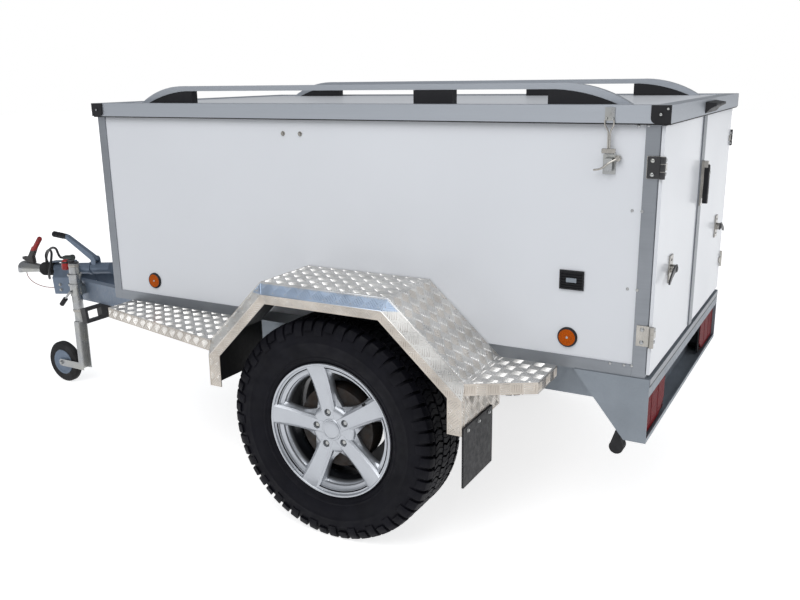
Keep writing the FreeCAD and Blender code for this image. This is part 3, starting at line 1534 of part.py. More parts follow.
def support_bar():
    """A black bar bolted across under both legs, with an open window at each end."""
    x = tilt_x - bar_behind
    share = (tilt_x - x - bar_thickness / 2) / (tilt_x - rail_front_end + overrun * 2)
    z1 = tilt_z - leg_depth_front + (leg_depth_front - leg_depth_rear) * share - seat_gap
    bar = block(x - bar_thickness / 2, x + bar_thickness / 2, -bar_half_length, bar_half_length,
                z1 - bar_height, z1)
    for y0 in (bar_half_length - bar_frame - bar_window, -bar_half_length + bar_frame):
        bar = bar.cut(block(x - bar_thickness, x + bar_thickness, y0, y0 + bar_window,
                            z1 - bar_height + bar_frame, z1 - bar_frame))
    return tilted(bar, leg_tilt_deg)


add("support_bar", support_bar())


# Jockey wheel

jockey_x = tilt_x - jockey_behind
jockey_wheel_x = jockey_x + jockey_trail


def jockey_tube():
    tube = Part.makeCylinder(jockey_tube_radius, jockey_tube_top - jockey_tube_bottom,
                             vec(jockey_x, jockey_y, jockey_tube_bottom))
    bore = Part.makeCylinder(jockey_tube_radius - jockey_tube_wall,
                             jockey_tube_top - jockey_tube_bottom - jockey_tube_wall + overrun,
                             vec(jockey_x, jockey_y, jockey_tube_bottom - overrun))
    return tube.cut(bore)


def jockey_slide():
    z0 = jockey_leg_top + seat_gap
    radius = jockey_tube_radius - jockey_tube_wall - seat_gap
    return Part.makeCylinder(radius, jockey_tube_top - jockey_slide_room - z0, vec(jockey_x, jockey_y, z0))


def jockey_fork():
    """A channel leg open to the rear with an arm forward on each side of the wheel."""
    half = jockey_wheel_width / 2 + jockey_side_gap
    out = half + jockey_fork_wall
    x0 = jockey_x - jockey_fork_width / 2
    x1 = jockey_x + jockey_fork_width / 2 - jockey_side_gap
    fork = block(x0, x1, jockey_y - out, jockey_y + out, jockey_leg_bottom, jockey_leg_top)
    room = block(x0 - overrun, x1 - jockey_fork_wall, jockey_y - half, jockey_y + half,
                 jockey_leg_bottom - overrun, jockey_leg_top - jockey_fork_wall)
    fork = fork.cut(room)
    return fork


def jockey_arms():
    half = jockey_wheel_width / 2 + jockey_side_gap
    arms = []
    for s in (1, -1):
        y0 = jockey_y + s * half
        y1 = jockey_y + s * (half + jockey_fork_wall)
        lo, hi = min(y0, y1), max(y0, y1)
        arms.append(block(jockey_x, jockey_wheel_x, lo, hi, jockey_wheel_radius - jockey_arm_height / 2,
                          jockey_wheel_radius + jockey_arm_height / 2))
        arms.append(Part.makeCylinder(jockey_arm_height / 2, jockey_fork_wall,
                                      vec(jockey_wheel_x, lo, jockey_wheel_radius), vec(0, 1, 0)))
    arms.append(rod(vec(jockey_wheel_x, jockey_y - half, jockey_wheel_radius),
                    vec(jockey_wheel_x, jockey_y + half, jockey_wheel_radius), jockey_axle_radius))
    return arms


def jockey_clamp():
    """A clamp round the tube, with two wider bands and a pad on the leg's outer face."""
    tube_room = Part.makeCylinder(jockey_tube_radius + seat_gap, clamp_height * 3,
                                  vec(jockey_x, jockey_y, clamp_bottom - clamp_height))
    ring = Part.makeCylinder(jockey_tube_radius + clamp_wall, clamp_height,
                             vec(jockey_x, jockey_y, clamp_bottom))
    upper = clamp_bottom + clamp_height - clamp_band_height
    for z in (upper, upper - clamp_band_spacing):
        ring = ring.fuse(Part.makeCylinder(jockey_tube_radius + clamp_band_wall, clamp_band_height,
                                           vec(jockey_x, jockey_y, z)))
    x0, x1 = jockey_x - clamp_pad / 2, jockey_x + clamp_pad / 2
    face = leg_front_y + seat_gap * 2
    pad = plan_prism([(x0, face + (tilt_x - x0) * leg_slope), (x1, face + (tilt_x - x1) * leg_slope),
                      (x1, jockey_y), (x0, jockey_y)],
                     tilt_z - leg_depth_rear + clamp_pad_inset, tilt_z - clamp_pad_inset)
    return ring.fuse(tilted(pad, leg_tilt_deg)).cut(tube_room)


def clamp_lever():
    """The bent handle that tightens the clamp, with a black grip."""
    y = jockey_y + jockey_tube_radius + clamp_wall + clamp_lever_radius * 2
    z = clamp_bottom + clamp_lever_above
    fall = math.radians(clamp_lever_drop_deg)
    start = vec(jockey_x, jockey_y + jockey_tube_radius + clamp_wall + seat_gap, z)
    knee = vec(jockey_x, y, z)
    end = vec(jockey_x + clamp_lever_length * math.cos(fall), y, z - clamp_lever_length * math.sin(fall))
    bare = clamp_lever_length - clamp_grip_length
    grip_start = vec(jockey_x + bare * math.cos(fall), y, z - bare * math.sin(fall))
    bar = rod(start, knee, clamp_lever_radius).fuse(Part.makeSphere(clamp_lever_radius, knee))
    return bar.fuse(rod(knee, end, clamp_lever_radius)).fuse(rod(grip_start, end, clamp_grip_radius))


def jockey_crank():
    """The crank on top of the tube, its round knob folded down."""
    z0 = jockey_tube_top + seat_gap
    z1 = z0 + jockey_crank_wall * 2
    knob_x = jockey_x + jockey_crank_reach
    half = jockey_crank_width / 2
    cap = Part.makeCylinder(jockey_tube_radius, jockey_crank_wall, vec(jockey_x, jockey_y, z0))
    arm = block(jockey_x, knob_x, jockey_y - half, jockey_y + half, z0 + jockey_crank_wall / 2, z1)
    knob = Part.makeCylinder(jockey_knob_radius, jockey_knob_length,
                             vec(knob_x, jockey_y, z1 - jockey_knob_length))
    knob = knob.makeChamfer(jockey_knob_bevel, [e for e in knob.Edges if e.BoundBox.ZLength < seat_gap])
    return cap.fuse(arm).fuse(knob).removeSplitter()


add("jockey_clamp", [jockey_clamp(), clamp_lever()])
add("jockey_crank", jockey_crank())

fork = jockey_fork()
for arm in jockey_arms():
    fork = fork.fuse(arm)
add("jockey_tube", jockey_tube())
add("jockey_slide", jockey_slide())
add("jockey_fork", fork.removeSplitter())


def jockey_tyre():
    half = jockey_wheel_width / 2
    profile = [(jockey_rim_radius, -half), (jockey_wheel_radius - half / 2, -half),
               (jockey_wheel_radius, -half / 2), (jockey_wheel_radius, half / 2),
               (jockey_wheel_radius - half / 2, half), (jockey_rim_radius, half)]
    return turned(profile, vec(jockey_wheel_x, jockey_y, jockey_wheel_radius), vec(0, 1, 0))


def jockey_rim():
    half = jockey_rim_width / 2
    bore = jockey_axle_radius + seat_gap
    profile = [(bore, -half), (jockey_rim_radius - seat_gap, -half),
               (jockey_rim_radius - seat_gap, half), (bore, half)]
    return turned(profile, vec(jockey_wheel_x, jockey_y, jockey_wheel_radius), vec(0, 1, 0))


add("jockey_tyre", jockey_tyre())
add("jockey_rim", jockey_rim())

for name, solids in nodes.items():
    shape = solids[0] if len(solids) == 1 else Part.makeCompound(solids)
    shape.exportStep("parts/" + name + ".step")
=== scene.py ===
"""Finishes, fittings, cords, floor and light for the box trailer, laid out as an add-on."""
import json
import math

import bmesh
import bpy
from mathutils import Matrix, Vector


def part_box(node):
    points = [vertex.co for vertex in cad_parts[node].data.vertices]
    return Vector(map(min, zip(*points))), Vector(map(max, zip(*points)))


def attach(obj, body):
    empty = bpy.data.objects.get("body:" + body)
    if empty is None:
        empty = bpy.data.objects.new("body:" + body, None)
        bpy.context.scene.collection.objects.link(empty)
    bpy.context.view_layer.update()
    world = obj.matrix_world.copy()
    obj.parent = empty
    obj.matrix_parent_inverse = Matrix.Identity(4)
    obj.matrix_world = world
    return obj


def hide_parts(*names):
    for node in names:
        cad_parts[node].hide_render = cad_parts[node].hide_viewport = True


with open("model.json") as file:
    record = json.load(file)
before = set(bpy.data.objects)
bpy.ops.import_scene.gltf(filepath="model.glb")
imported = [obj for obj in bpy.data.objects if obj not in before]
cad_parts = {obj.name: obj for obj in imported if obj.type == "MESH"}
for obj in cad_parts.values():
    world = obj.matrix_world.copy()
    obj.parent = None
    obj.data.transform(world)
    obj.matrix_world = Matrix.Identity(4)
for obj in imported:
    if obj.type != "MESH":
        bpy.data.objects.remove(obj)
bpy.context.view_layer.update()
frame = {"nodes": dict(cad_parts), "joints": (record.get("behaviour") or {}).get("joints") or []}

bl_info = {
    "name": "Box trailer",
    "version": (1, 0, 0),
    "blender": (4, 5, 0),
    "location": "3D View > Sidebar > Trailer",
    "description": "Dresses the frame of a box trailer with its finishes and fittings",
    "category": "Object",
}

# Places read from the frame, and the faces of the box's posts and of its panels
JOINTS = {joint["name"]: joint for joint in frame["joints"]}
WHEEL_CENTRE = Vector(JOINTS["wheel_left_spin"]["pos_m"])
TILT_LINE = Vector((WHEEL_CENTRE.x + 1.95, 0.0, 0.49))
TYRE_RADIUS = WHEEL_CENTRE.z
BOX_SIDE = 0.562
PANEL_FACE = 0.5585

# Where some finishes change, in metres in the trailer's frame; the changes at the lid's edge and the fender's
# bevel are painted reflections, the one behind the spokes is painted shade
LID_REFLECTION_EDGE = (1.296, 1.299)
DRAWBAR_START = (0.3, 0.5)
BEVEL_EDGE = (0.8225, 0.8245)
BEVEL_FOOT = (0.786, 0.790)
SHADE_BEHIND_SPOKES = (0.744, 0.764)
LENS_FACE = (-1.6345, -1.6340)
GRIP_START = (1.49, 1.50)
GRIP_FOOT = (0.585, 0.592)


class Nodes:
    """A tree of shader nodes being filled."""

    def __init__(self, tree):
        self.tree = tree

    def feed(self, socket, value):
        """Link a texture to a socket, or set a constant on it."""
        if isinstance(value, bpy.types.NodeSocket):
            self.tree.links.new(value, socket)
        else:
            socket.default_value = value

    def add(self, kind, inputs, **settings):
        """One node, its inputs fed by name or number."""
        node = self.tree.nodes.new(kind)
        for setting, value in settings.items():
            setattr(node, setting, value)
        for socket, value in inputs.items():
            self.feed(node.inputs[socket], value)
        return node

    def span(self, share, low, high, start=0.0, end=1.0):
        """A share between start and end turned into a value between low and high."""
        inputs = {"Value": share, "From Min": start, "From Max": end, "To Min": low, "To Max": high}
        return self.add("ShaderNodeMapRange", inputs).outputs[0]

    def band(self, place, low, high):
        """A share that rises from 0 to 1 between two places."""
        return self.span(place, 0.0, 1.0, low, high)

    def maths(self, operation, first, second=0.0):
        """One or two values worked into one."""
        return self.add("ShaderNodeMath", {0: first, 1: second}, operation=operation).outputs[0]


class Finish(Nodes):
    """A material being made: one shader, and the textures that feed it."""

    def __init__(self, name, roughness, metallic, **sockets):
        self.material = bpy.data.materials.new(name + "_finish")
        self.material.use_nodes = True
        super().__init__(self.material.node_tree)
        self.shader = self.tree.nodes["Principled BSDF"]
        self.normal = None
        self.colour = tuple(getattr(bpy.context.scene.trailer_colours, name))
        self.set("Base Color", (*self.colour, 1.0))
        self.set("Roughness", roughness)
        self.set("Metallic", metallic)
        for socket, value in sockets.items():
            self.set(socket.replace("_", " ").title().replace("Ior", "IOR"), value)

    def set(self, socket, value):
        """Give one of the shader's sockets a constant or a texture."""
        self.feed(self.shader.inputs[socket], value)

    def place(self, stretch):
        """Places on the piece, stretched along the axes."""
        where = self.add("ShaderNodeTexCoord", {}).outputs["Object"]
        return self.add("ShaderNodeMapping", {"Vector": where, "Scale": stretch}).outputs[0]

    def world(self, axis, kind="Position"):
        """One part of the place, or of the way the surface faces, in the trailer's frame."""
        where = self.add("ShaderNodeNewGeometry", {}).outputs[kind]
        return self.add("ShaderNodeSeparateXYZ", {0: where}).outputs[axis]

    def noise(self, scale, detail=2.0, stretch=(1.0, 1.0, 1.0)):
        """Soft clouds."""
        inputs = {"Vector": self.place(stretch), "Scale": scale, "Detail": detail}
        return self.add("ShaderNodeTexNoise", inputs).outputs[0]

    def cells(self, scale, stretch=(1.0, 1.0, 1.0), feature="F1", output="Distance"):
        """A pattern of cells, as the distance from their middles unless told otherwise."""
        inputs = {"Vector": self.place(stretch), "Scale": scale}
        return self.add("ShaderNodeTexVoronoi", inputs, feature=feature).outputs[output]

    def flakes(self, scale):
        """A value of its own for each cell of a pattern."""
        return self.add("ShaderNodeSeparateColor", {0: self.cells(scale, output="Color")}).outputs[0]

    def ramp(self, share, *stops):
        """Colours along a share, as (place, colour) pairs."""
        node = self.add("ShaderNodeValToRGB", {"Fac": share})
        marks = node.color_ramp.elements
        while len(marks) < len(stops):
            marks.new(1.0)
        for mark, (at, colour) in zip(marks, stops):
            mark.position = at
            mark.color = (*colour, 1.0)
        return node.outputs["Color"]

    def mix(self, share, first, second, **settings):
        """Two colours mixed by a share."""
        node = self.add("ShaderNodeMix", {0: share, 6: first, 7: second}, data_type="RGBA", **settings)
        return node.outputs[2]

    def bump(self, height, strength, distance):
        """Raise the surface by a texture, on top of what already raises it."""
        inputs = {"Height": height, "Strength": strength, "Distance": distance}
        if self.normal is not None:
            inputs["Normal"] = self.normal
        self.normal = self.add("ShaderNodeBump", inputs).outputs[0]
        self.set("Normal", self.normal)

    def shaded(self, share, low, high, start=0.35, end=0.65):
        """The finish's own colour between a darker and a lighter factor, by a texture."""
        return self.ramp(share, (start, shade(self.colour, low)), (end, shade(self.colour, high)))

    def tint(self, share, low, high, start=0.35, end=0.65):
        """Vary the colour between two factors by a texture."""
        self.set("Base Color", self.shaded(share, low, high, start, end))

    def gloss(self, share, low, high, start=0.3, end=0.7):
        """Vary the roughness between two values by a texture."""
        self.set("Roughness", self.span(share, low, high, start, end))


def shade(colour, factor):
    """The same colour, darker or lighter."""
    return tuple(min(1.0, part * factor) for part in colour)


def finish(roughness, metallic=0.0, **sockets):
    """Make a material once, with these constants and what the function under this line paints on it."""
    def prepare(paint):
        made = []

        def once():
            if not made:
                done = Finish(paint.__name__, roughness, metallic, **sockets)
                paint(done)
                made.append(done.material)
            return made[0]

        return once

    return prepare


@finish(0.3, coat_weight=0.25, coat_roughness=0.12)
def white_panel(done):
    """Smooth coated sandwich panel, faintly wavy and cloudy."""
    done.tint(done.noise(2.2, 3.0), 0.975, 1.0)
    done.gloss(done.noise(3.0), 0.30, 0.38)
    done.bump(done.noise(7.0, 1.0), 0.05, 0.002)


@finish(0.42, 0.75)
def anodised_profile(done):
    """Satin anodised aluminium with faint drawing lines along each profile, and a painted reflection that
    makes it brighter round the lid.
    """
    lines = done.noise(260.0, 3.0, (0.02, 1.0, 1.0))
    body = done.shaded(done.noise(5.0, 3.0), 0.9, 1.06)
    # Painted reflection: above the lid's edge the colour is raised 1.65 times, standing in for the light the
    # aluminium reflects there.
    painted_reflection = (*shade(done.colour, 1.65), 1.0)
    done.set("Base Color", done.mix(done.band(done.world("Z"), *LID_REFLECTION_EDGE), body, painted_reflection))
    done.gloss(lines, 0.36, 0.5)
    done.bump(lines, 0.06, 0.0004)


@finish(0.5, 0.55)
def galvanised_steel(done):
    """Hot-dip galvanising: crystals of slightly different greys under a bloom, bluer on the drawbar."""
    grey = done.flakes(95.0)
    ahead = done.band(done.world("X"), *DRAWBAR_START)
    tinge = done.mix(ahead, (1.0, 0.98, 0.94, 1.0), (0.70, 0.78, 0.88, 1.0))
    bloom = done.shaded(done.noise(7.0, 5.0), 0.8, 1.12, 0.3, 0.7)
    clouded = done.mix(0.55, done.shaded(grey, 0.82, 1.15, 0.0, 1.0), bloom)
    done.set("Base Color", done.mix(1.0, clouded, tinge, blend_type="MULTIPLY"))
    done.gloss(grey, 0.4, 0.6, 0.0, 1.0)
    done.bump(done.noise(60.0, 4.0), 0.12, 0.001)


@finish(0.34, 0.85)
def tread_plate(done):
    """Bright rolled aluminium, scuffed and streaked, with a painted blue sky reflection on the bevel and
    painted brownish shade on upright faces.
    """
    worn = done.shaded(done.noise(11.0, 5.0), 0.84, 1.1)
    outside = done.band(done.maths("ABSOLUTE", done.world("Y")), *BEVEL_EDGE)
    slope = done.maths("MULTIPLY", outside, done.band(done.world("Z"), *BEVEL_FOOT))
    # Painted reflection: the bevel's colour is tinted blue as if it mirrored the sky.
    painted_sky_reflection = done.mix(slope, (1.0, 1.0, 1.0, 1.0), (0.62, 0.76, 0.98, 1.0))
    # Painted shade: upright faces are darkened and tinted brown by the way they face the light.
    steep = done.span(done.maths("ABSOLUTE", done.world("Z", "Normal")), 1.0, 0.0, 0.06, 0.34)
    painted_reflection_and_shade = done.mix(steep, painted_sky_reflection, (0.66, 0.61, 0.56, 1.0))
    done.set("Base Color", done.mix(1.0, worn, painted_reflection_and_shade, blend_type="MULTIPLY"))
    done.gloss(done.noise(45.0, 5.0, (0.2, 1.0, 1.0)), 0.24, 0.46)
    done.bump(done.noise(300.0, 3.0, (0.1, 1.0, 1.0)), 0.12, 0.0005)
    done.bump(done.noise(9.0), 0.15, 0.003)


@finish(0.5, specular_ior_level=0.25)
def black_plastic(done):
    """Fine-grained moulded plastic, a little dusty."""
    done.tint(done.noise(8.0, 3.0), 1.0, 1.2)
    done.gloss(done.noise(80.0, 3.0), 0.42, 0.6)
    done.bump(done.cells(900.0), 0.25, 0.0004)


@finish(0.72, specular_ior_level=0.3)
def soft_rubber(done):
    """Matt moulded rubber with a grey bloom."""
    done.tint(done.noise(24.0, 5.0), 1.0, 2.4)
    done.bump(done.noise(380.0, 3.0), 0.2, 0.0005)


@finish(0.62, specular_ior_level=0.12)
def tyre_rubber(done):
    """Blue-black tyre rubber, dustier in patches, with a fine moulded grain."""
    done.tint(done.noise(14.0, 6.0), 1.0, 1.5)
    done.gloss(done.noise(30.0, 4.0), 0.5, 0.7)
    done.bump(done.noise(520.0, 4.0), 0.22, 0.0006)


@finish(0.36, 0.7, coat_weight=0.4, coat_roughness=0.1)
def silver_alloy(done):
    """Silver lacquer over cast alloy: flakes and a clear coat, with painted shade deep behind the spokes."""
    face = done.shaded(done.flakes(1500.0), 0.9, 1.08, 0.0, 1.0)
    # Painted shade: inside the barrel, deeper than the spokes, the colour is near black.
    outside_painted_shade = done.band(done.maths("ABSOLUTE", done.world("Y")), *SHADE_BEHIND_SPOKES)
    done.set("Base Color", done.mix(outside_painted_shade, (0.02, 0.022, 0.028, 1.0), face))
    done.gloss(done.noise(18.0, 4.0), 0.3, 0.42)
    done.bump(done.noise(240.0), 0.04, 0.0004)


@finish(0.5, specular_ior_level=0.04, coat_weight=0.03, coat_roughness=0.2)
def red_lens(done):
    """Deep red moulded lens with rows of small prisms, in a black housing."""
    prism = done.cells(210.0, (0.2, 1.0, 1.0))
    housing = done.band(done.world("X"), *LENS_FACE)
    red = done.shaded(prism, 0.55, 1.35, 0.1, 0.7)
    done.set("Base Color", done.mix(housing, red, (0.012, 0.012, 0.013, 1.0)))
    done.bump(prism, 0.35, 0.001)


@finish(0.4, specular_ior_level=0.06, coat_weight=0.05, coat_roughness=0.12)
def amber_lens(done):
    """Amber reflector full of small three-sided prisms."""
    prism = done.cells(420.0, (1.0, 0.2, 1.0))
    done.tint(prism, 0.6, 1.3, 0.1, 0.7)
    done.bump(prism, 0.3, 0.0008)


@finish(0.35, specular_ior_level=0.3, coat_weight=0.2, coat_roughness=0.2)
def red_grip(done):
    """Dark red moulded grip on a black foot, glossy where hands rub it."""
    red = done.shaded(done.noise(40.0, 4.0), 0.7, 1.25)
    foot = done.maths("MULTIPLY", done.band(done.world("X"), *GRIP_START),
                      done.span(done.world("Z"), 1.0, 0.0, *GRIP_FOOT))
    done.set("Base Color", done.mix(foot, red, (0.014, 0.012, 0.012, 1.0)))
    done.gloss(done.noise(60.0, 3.0), 0.25, 0.5)
    done.bump(done.cells(700.0), 0.12, 0.0004)


@finish(0.32, 0.9)
def bright_zinc(done):
    """Zinc-plated steel with a faint straw tinge."""
    red, green, blue = done.colour
    straw = (red, green * 0.98, blue * 0.9)
    done.set("Base Color", done.ramp(done.noise(16.0, 4.0), (0.35, shade(done.colour, 0.86)), (0.65, straw)))
    done.gloss(done.noise(50.0, 5.0), 0.22, 0.42)
    done.bump(done.noise(180.0, 3.0), 0.08, 0.0005)


@finish(0.3, 0.95)
def stainless_steel(done):
    """Ground stainless steel with fine upright lines."""
    lines = done.noise(420.0, 3.0, (1.0, 1.0, 0.05))
    done.tint(done.noise(20.0, 3.0), 0.85, 1.1)
    done.gloss(lines, 0.2, 0.38)
    done.bump(lines, 0.1, 0.0004)


@finish(0.4)
def black_steel(done):
    """Black powder coat with a light orange peel."""
    done.tint(done.noise(18.0, 4.0), 1.0, 1.8)
    done.gloss(done.noise(30.0, 3.0), 0.34, 0.5)
    done.bump(done.noise(320.0), 0.2, 0.0006)


@finish(0.5, coat_weight=0.2, coat_roughness=0.3)
def film_plywood(done):
    """Brown film-faced floor plywood with a pressed mesh."""
    done.tint(done.noise(6.0, 6.0, (0.3, 1.0, 1.0)), 0.75, 1.2)
    done.bump(done.cells(260.0, feature="DISTANCE_TO_EDGE"), 0.3, 0.0008)


@finish(0.7, 0.3)
def cast_iron(done):
    """Raw casting, rusting in patches."""
    rust = (0.026, 0.017, 0.012)
    stops = ((0.35, done.colour), (0.62, rust), (0.75, shade(rust, 0.6)))
    done.set("Base Color", done.ramp(done.noise(26.0, 6.0), *stops))
    done.gloss(done.noise(40.0, 4.0), 0.55, 0.9)
    done.bump(done.noise(160.0, 5.0), 0.4, 0.001)


@finish(0.42)
def cable_sheath(done):
    """Smooth black sheath, dulled by handling."""
    done.tint(done.noise(60.0, 4.0), 1.0, 2.2)
    done.gloss(done.noise(90.0, 3.0), 0.34, 0.55)
    done.bump(done.noise(500.0), 0.1, 0.0003)


@finish(0.35, 0.1, coat_weight=0.4, coat_roughness=0.15)
def red_rope(done):
    """Wire rope showing through a red-brown coating."""
    inputs = {"Vector": done.place((1.0, 1.0, 1.0)), "Scale": 260.0, "Distortion": 0.4}
    wave = done.add("ShaderNodeTexWave", inputs, bands_direction="DIAGONAL").outputs[0]
    done.tint(wave, 0.6, 1.3, 0.2, 0.8)
    done.bump(wave, 0.4, 0.0006)


@finish(0.36, coat_weight=0.2, coat_roughness=0.2)
def green_black_plug(done):
    """Dark moulded plug with a green cast."""
    done.tint(done.noise(34.0, 4.0), 1.0, 1.9)
    done.gloss(done.noise(70.0, 3.0), 0.3, 0.5)
    done.bump(done.cells(600.0), 0.15, 0.0004)


# The nodes of the frame that have each finish
FINISHES = {
    white_panel: ["side_wall_left", "side_wall_right", "front_wall", "door_left", "door_right", "lid_panel"],
    anodised_profile: ["corner_posts", "base_rails", "lid_frame", "astragal", "roof_rails"],
    galvanised_steel: ["chassis_rails", "cross_members", "drawbar_legs", "tail_beam", "side_plates", "axle",
                       "overrun_housing", "handbrake_lever"],
    cast_iron: ["brake_drum_left", "brake_drum_right"],
    tread_plate: ["fender_left", "fender_right", "running_boards", "rear_steps"],
    black_plastic: ["lid_caps", "lid_handle", "rail_feet", "side_vents", "mud_flaps"],
    soft_rubber: ["bellows", "tail_buffers", "jockey_tyre"],
    tyre_rubber: ["tyre_left", "tyre_right"],
    silver_alloy: ["wheel_left", "wheel_right"],
    red_lens: ["tail_lamps"],
    amber_lens: ["side_reflectors"],
    red_grip: ["coupling_handle"],
    bright_zinc: ["coupling_head", "jockey_tube", "jockey_slide", "jockey_fork",
                  "jockey_clamp", "jockey_rim", "latch_bodies", "latch_hooks"],
    black_steel: ["support_bar", "jockey_crank"],
    film_plywood: ["floor_panel"],
    stainless_steel: ["fixed_hinge_leaves", "hinge_leaves_left", "hinge_leaves_right", "lid_hinge_leaves",
                      "door_catch_left", "door_latches_right"],
    green_black_plug: ["power_plug"],
}


def colour_value(name, default, description):
    """A colour that a user can change."""
    return bpy.props.FloatVectorProperty(name=name, description=description, default=default,
                                         subtype="COLOR", size=3, min=0.0, max=1.0)


class TrailerColours(bpy.types.PropertyGroup):
    """The colours of the finishes."""

    white_panel: colour_value("Panels", (0.80, 0.82, 0.86), "Coated faces of the walls, doors and lid")
    anodised_profile: colour_value("Profiles", (0.25, 0.266, 0.290), "Anodised posts, rails and lid frame")
    galvanised_steel: colour_value("Galvanised steel", (0.25, 0.285, 0.335), "Chassis, drawbar and tail beam")
    tread_plate: colour_value("Tread plate", (0.72, 0.71, 0.69), "Fenders, running boards and steps")
    black_plastic: colour_value("Black plastic", (0.012, 0.012, 0.014), "Caps, feet, flaps and vents")
    soft_rubber: colour_value("Rubber", (0.014, 0.014, 0.015), "Bellows, buffers and jockey tyre")
    tyre_rubber: colour_value("Tyres", (0.0045, 0.0045, 0.0070), "Tread and sidewalls")
    silver_alloy: colour_value("Wheels", (0.46, 0.48, 0.515), "Lacquered alloy wheels")
    red_lens: colour_value("Tail lamps", (0.15, 0.008, 0.012), "Red lenses")
    amber_lens: colour_value("Reflectors", (0.46, 0.085, 0.003), "Amber side reflectors")
    red_grip: colour_value("Red grips", (0.36, 0.014, 0.014), "Grip of the coupling and knob of the crank")
    bright_zinc: colour_value("Bright zinc", (0.40, 0.41, 0.425), "Plated levers, latches and jockey wheel")
    stainless_steel: colour_value("Stainless steel", (0.36, 0.345, 0.32), "Hinges and catches")
    black_steel: colour_value("Black steel", (0.016, 0.016, 0.018), "Powder-coated bar and crank")
    film_plywood: colour_value("Floor", (0.10, 0.055, 0.03), "Film-faced plywood")
    cast_iron: colour_value("Cast iron", (0.028, 0.027, 0.027), "Brake drums")
    cable_sheath: colour_value("Cable", (0.010, 0.010, 0.012), "Sheath of the power cable")
    red_rope: colour_value("Breakaway cable", (0.30, 0.07, 0.045), "Coating of the wire rope")
    green_black_plug: colour_value("Plug", (0.012, 0.020, 0.017), "Moulded power plug")


def length_value(name, default, description, least=0.001):
    """A length in metres that a user can change."""
    return bpy.props.FloatProperty(name=name, description=description, default=default,
                                   unit="LENGTH", min=least)


class TrailerStage(bpy.types.PropertyGroup):
    """Light and floor."""

    key_power: bpy.props.FloatProperty(name="Key light", description="Power of the large lamp overhead",
                                       default=116.0, unit="POWER", min=0.0)
    fill_power: bpy.props.FloatProperty(name="Fill light", description="Power of the lamp on the tail's side",
                                        default=44.0, unit="POWER", min=0.0)
    sky: bpy.props.FloatProperty(name="Sky", description="Strength of the even light from all round",
                                 default=0.38, min=0.0, subtype="FACTOR")
    floor_size: length_value("Floor", 60.0, "Width of the floor", 1.0)


def dress(node, material):
    """Give a node of the frame one finish."""
    slots = frame["nodes"][node].material_slots
    for slot in slots:
        slot.material = material
    if not slots:
        frame["nodes"][node].data.materials.append(material)


class TRAILER_OT_finishes(bpy.types.Operator):
    """Give every piece of the frame its finish"""

    bl_idname = "trailer.finishes"
    bl_label = "Finishes"

    def execute(self, context):
        for make, nodes in FINISHES.items():
            for node in nodes:
                dress(node, make())
        return {"FINISHED"}


# Ways that a surface of the trailer faces, as the directions across and along it
LEFT = ((-1.0, 0.0, 0.0), (0.0, 0.0, 1.0))
RIGHT = ((1.0, 0.0, 0.0), (0.0, 0.0, 1.0))
REAR = ((0.0, -1.0, 0.0), (0.0, 0.0, 1.0))
TOP = ((1.0, 0.0, 0.0), (0.0, 1.0, 0.0))

# The sides of the trailer, with the sign that y has there
SIDES = (("left", 1), ("right", -1))

# The drawbar's housing is drawn level and then dipped about the tilt line, by this angle in degrees
TOW_DIP = 6.0


def dipped(degrees):
    """The frame of the drawbar's pieces that dip by an angle, with the tilt line as its origin."""
    return Matrix.Translation(TILT_LINE) @ Matrix.Rotation(math.radians(degrees), 4, "Y")


def polygon(sides, radius, start=0.0):
    """The corners of an even polygon."""
    steps = [start + math.tau * k / sides for k in range(sides)]
    return [(radius * math.cos(step), radius * math.sin(step)) for step in steps]


def oblong(width, height, corner=0.0):
    """A rectangle about its middle, with rounded corners."""
    half_width, half_height = width / 2, height / 2
    outline = [(-half_width, -half_height), (half_width, -half_height),
               (half_width, half_height), (-half_width, half_height)]
    return rounded(outline, corner) if corner else outline


def rounded(points, radius, closed=True, steps=4):
    """The same line with each corner turned into a short curve."""
    points = [Vector(point) for point in points]
    count = len(points)
    found = [] if closed else [points[0]]
    for k in range(count) if closed else range(1, count - 1):
        corner = points[k]
        back = points[k - 1] - corner
        ahead = points[(k + 1) % count] - corner
        reach = min(radius, back.length / 2, ahead.length / 2)
        start = corner + back.normalized() * reach
        end = corner + ahead.normalized() * reach
        for step in range(steps + 1):
            share = step / steps
            found.append(start * (1 - share) ** 2 + corner * 2 * share * (1 - share) + end * share ** 2)
    return found if closed else found + [points[-1]]


def inset(outline, distance):
    """A closed outline moved inwards by a distance."""
    points = [Vector(point[:2]) for point in outline]
    count = len(points)
    area = sum(points[k - 1].cross(points[k]) for k in range(count))
    step = distance if area > 0 else -distance
    found = []
    for k, point in enumerate(points):
        back = (point - points[k - 1]).normalized()
        ahead = (points[(k + 1) % count] - point).normalized()
        first = Vector((-back.y, back.x))
        second = Vector((-ahead.y, ahead.x))
        found.append(point + (first + second) * step / max(0.3, 1 + first.dot(second)))
    return found


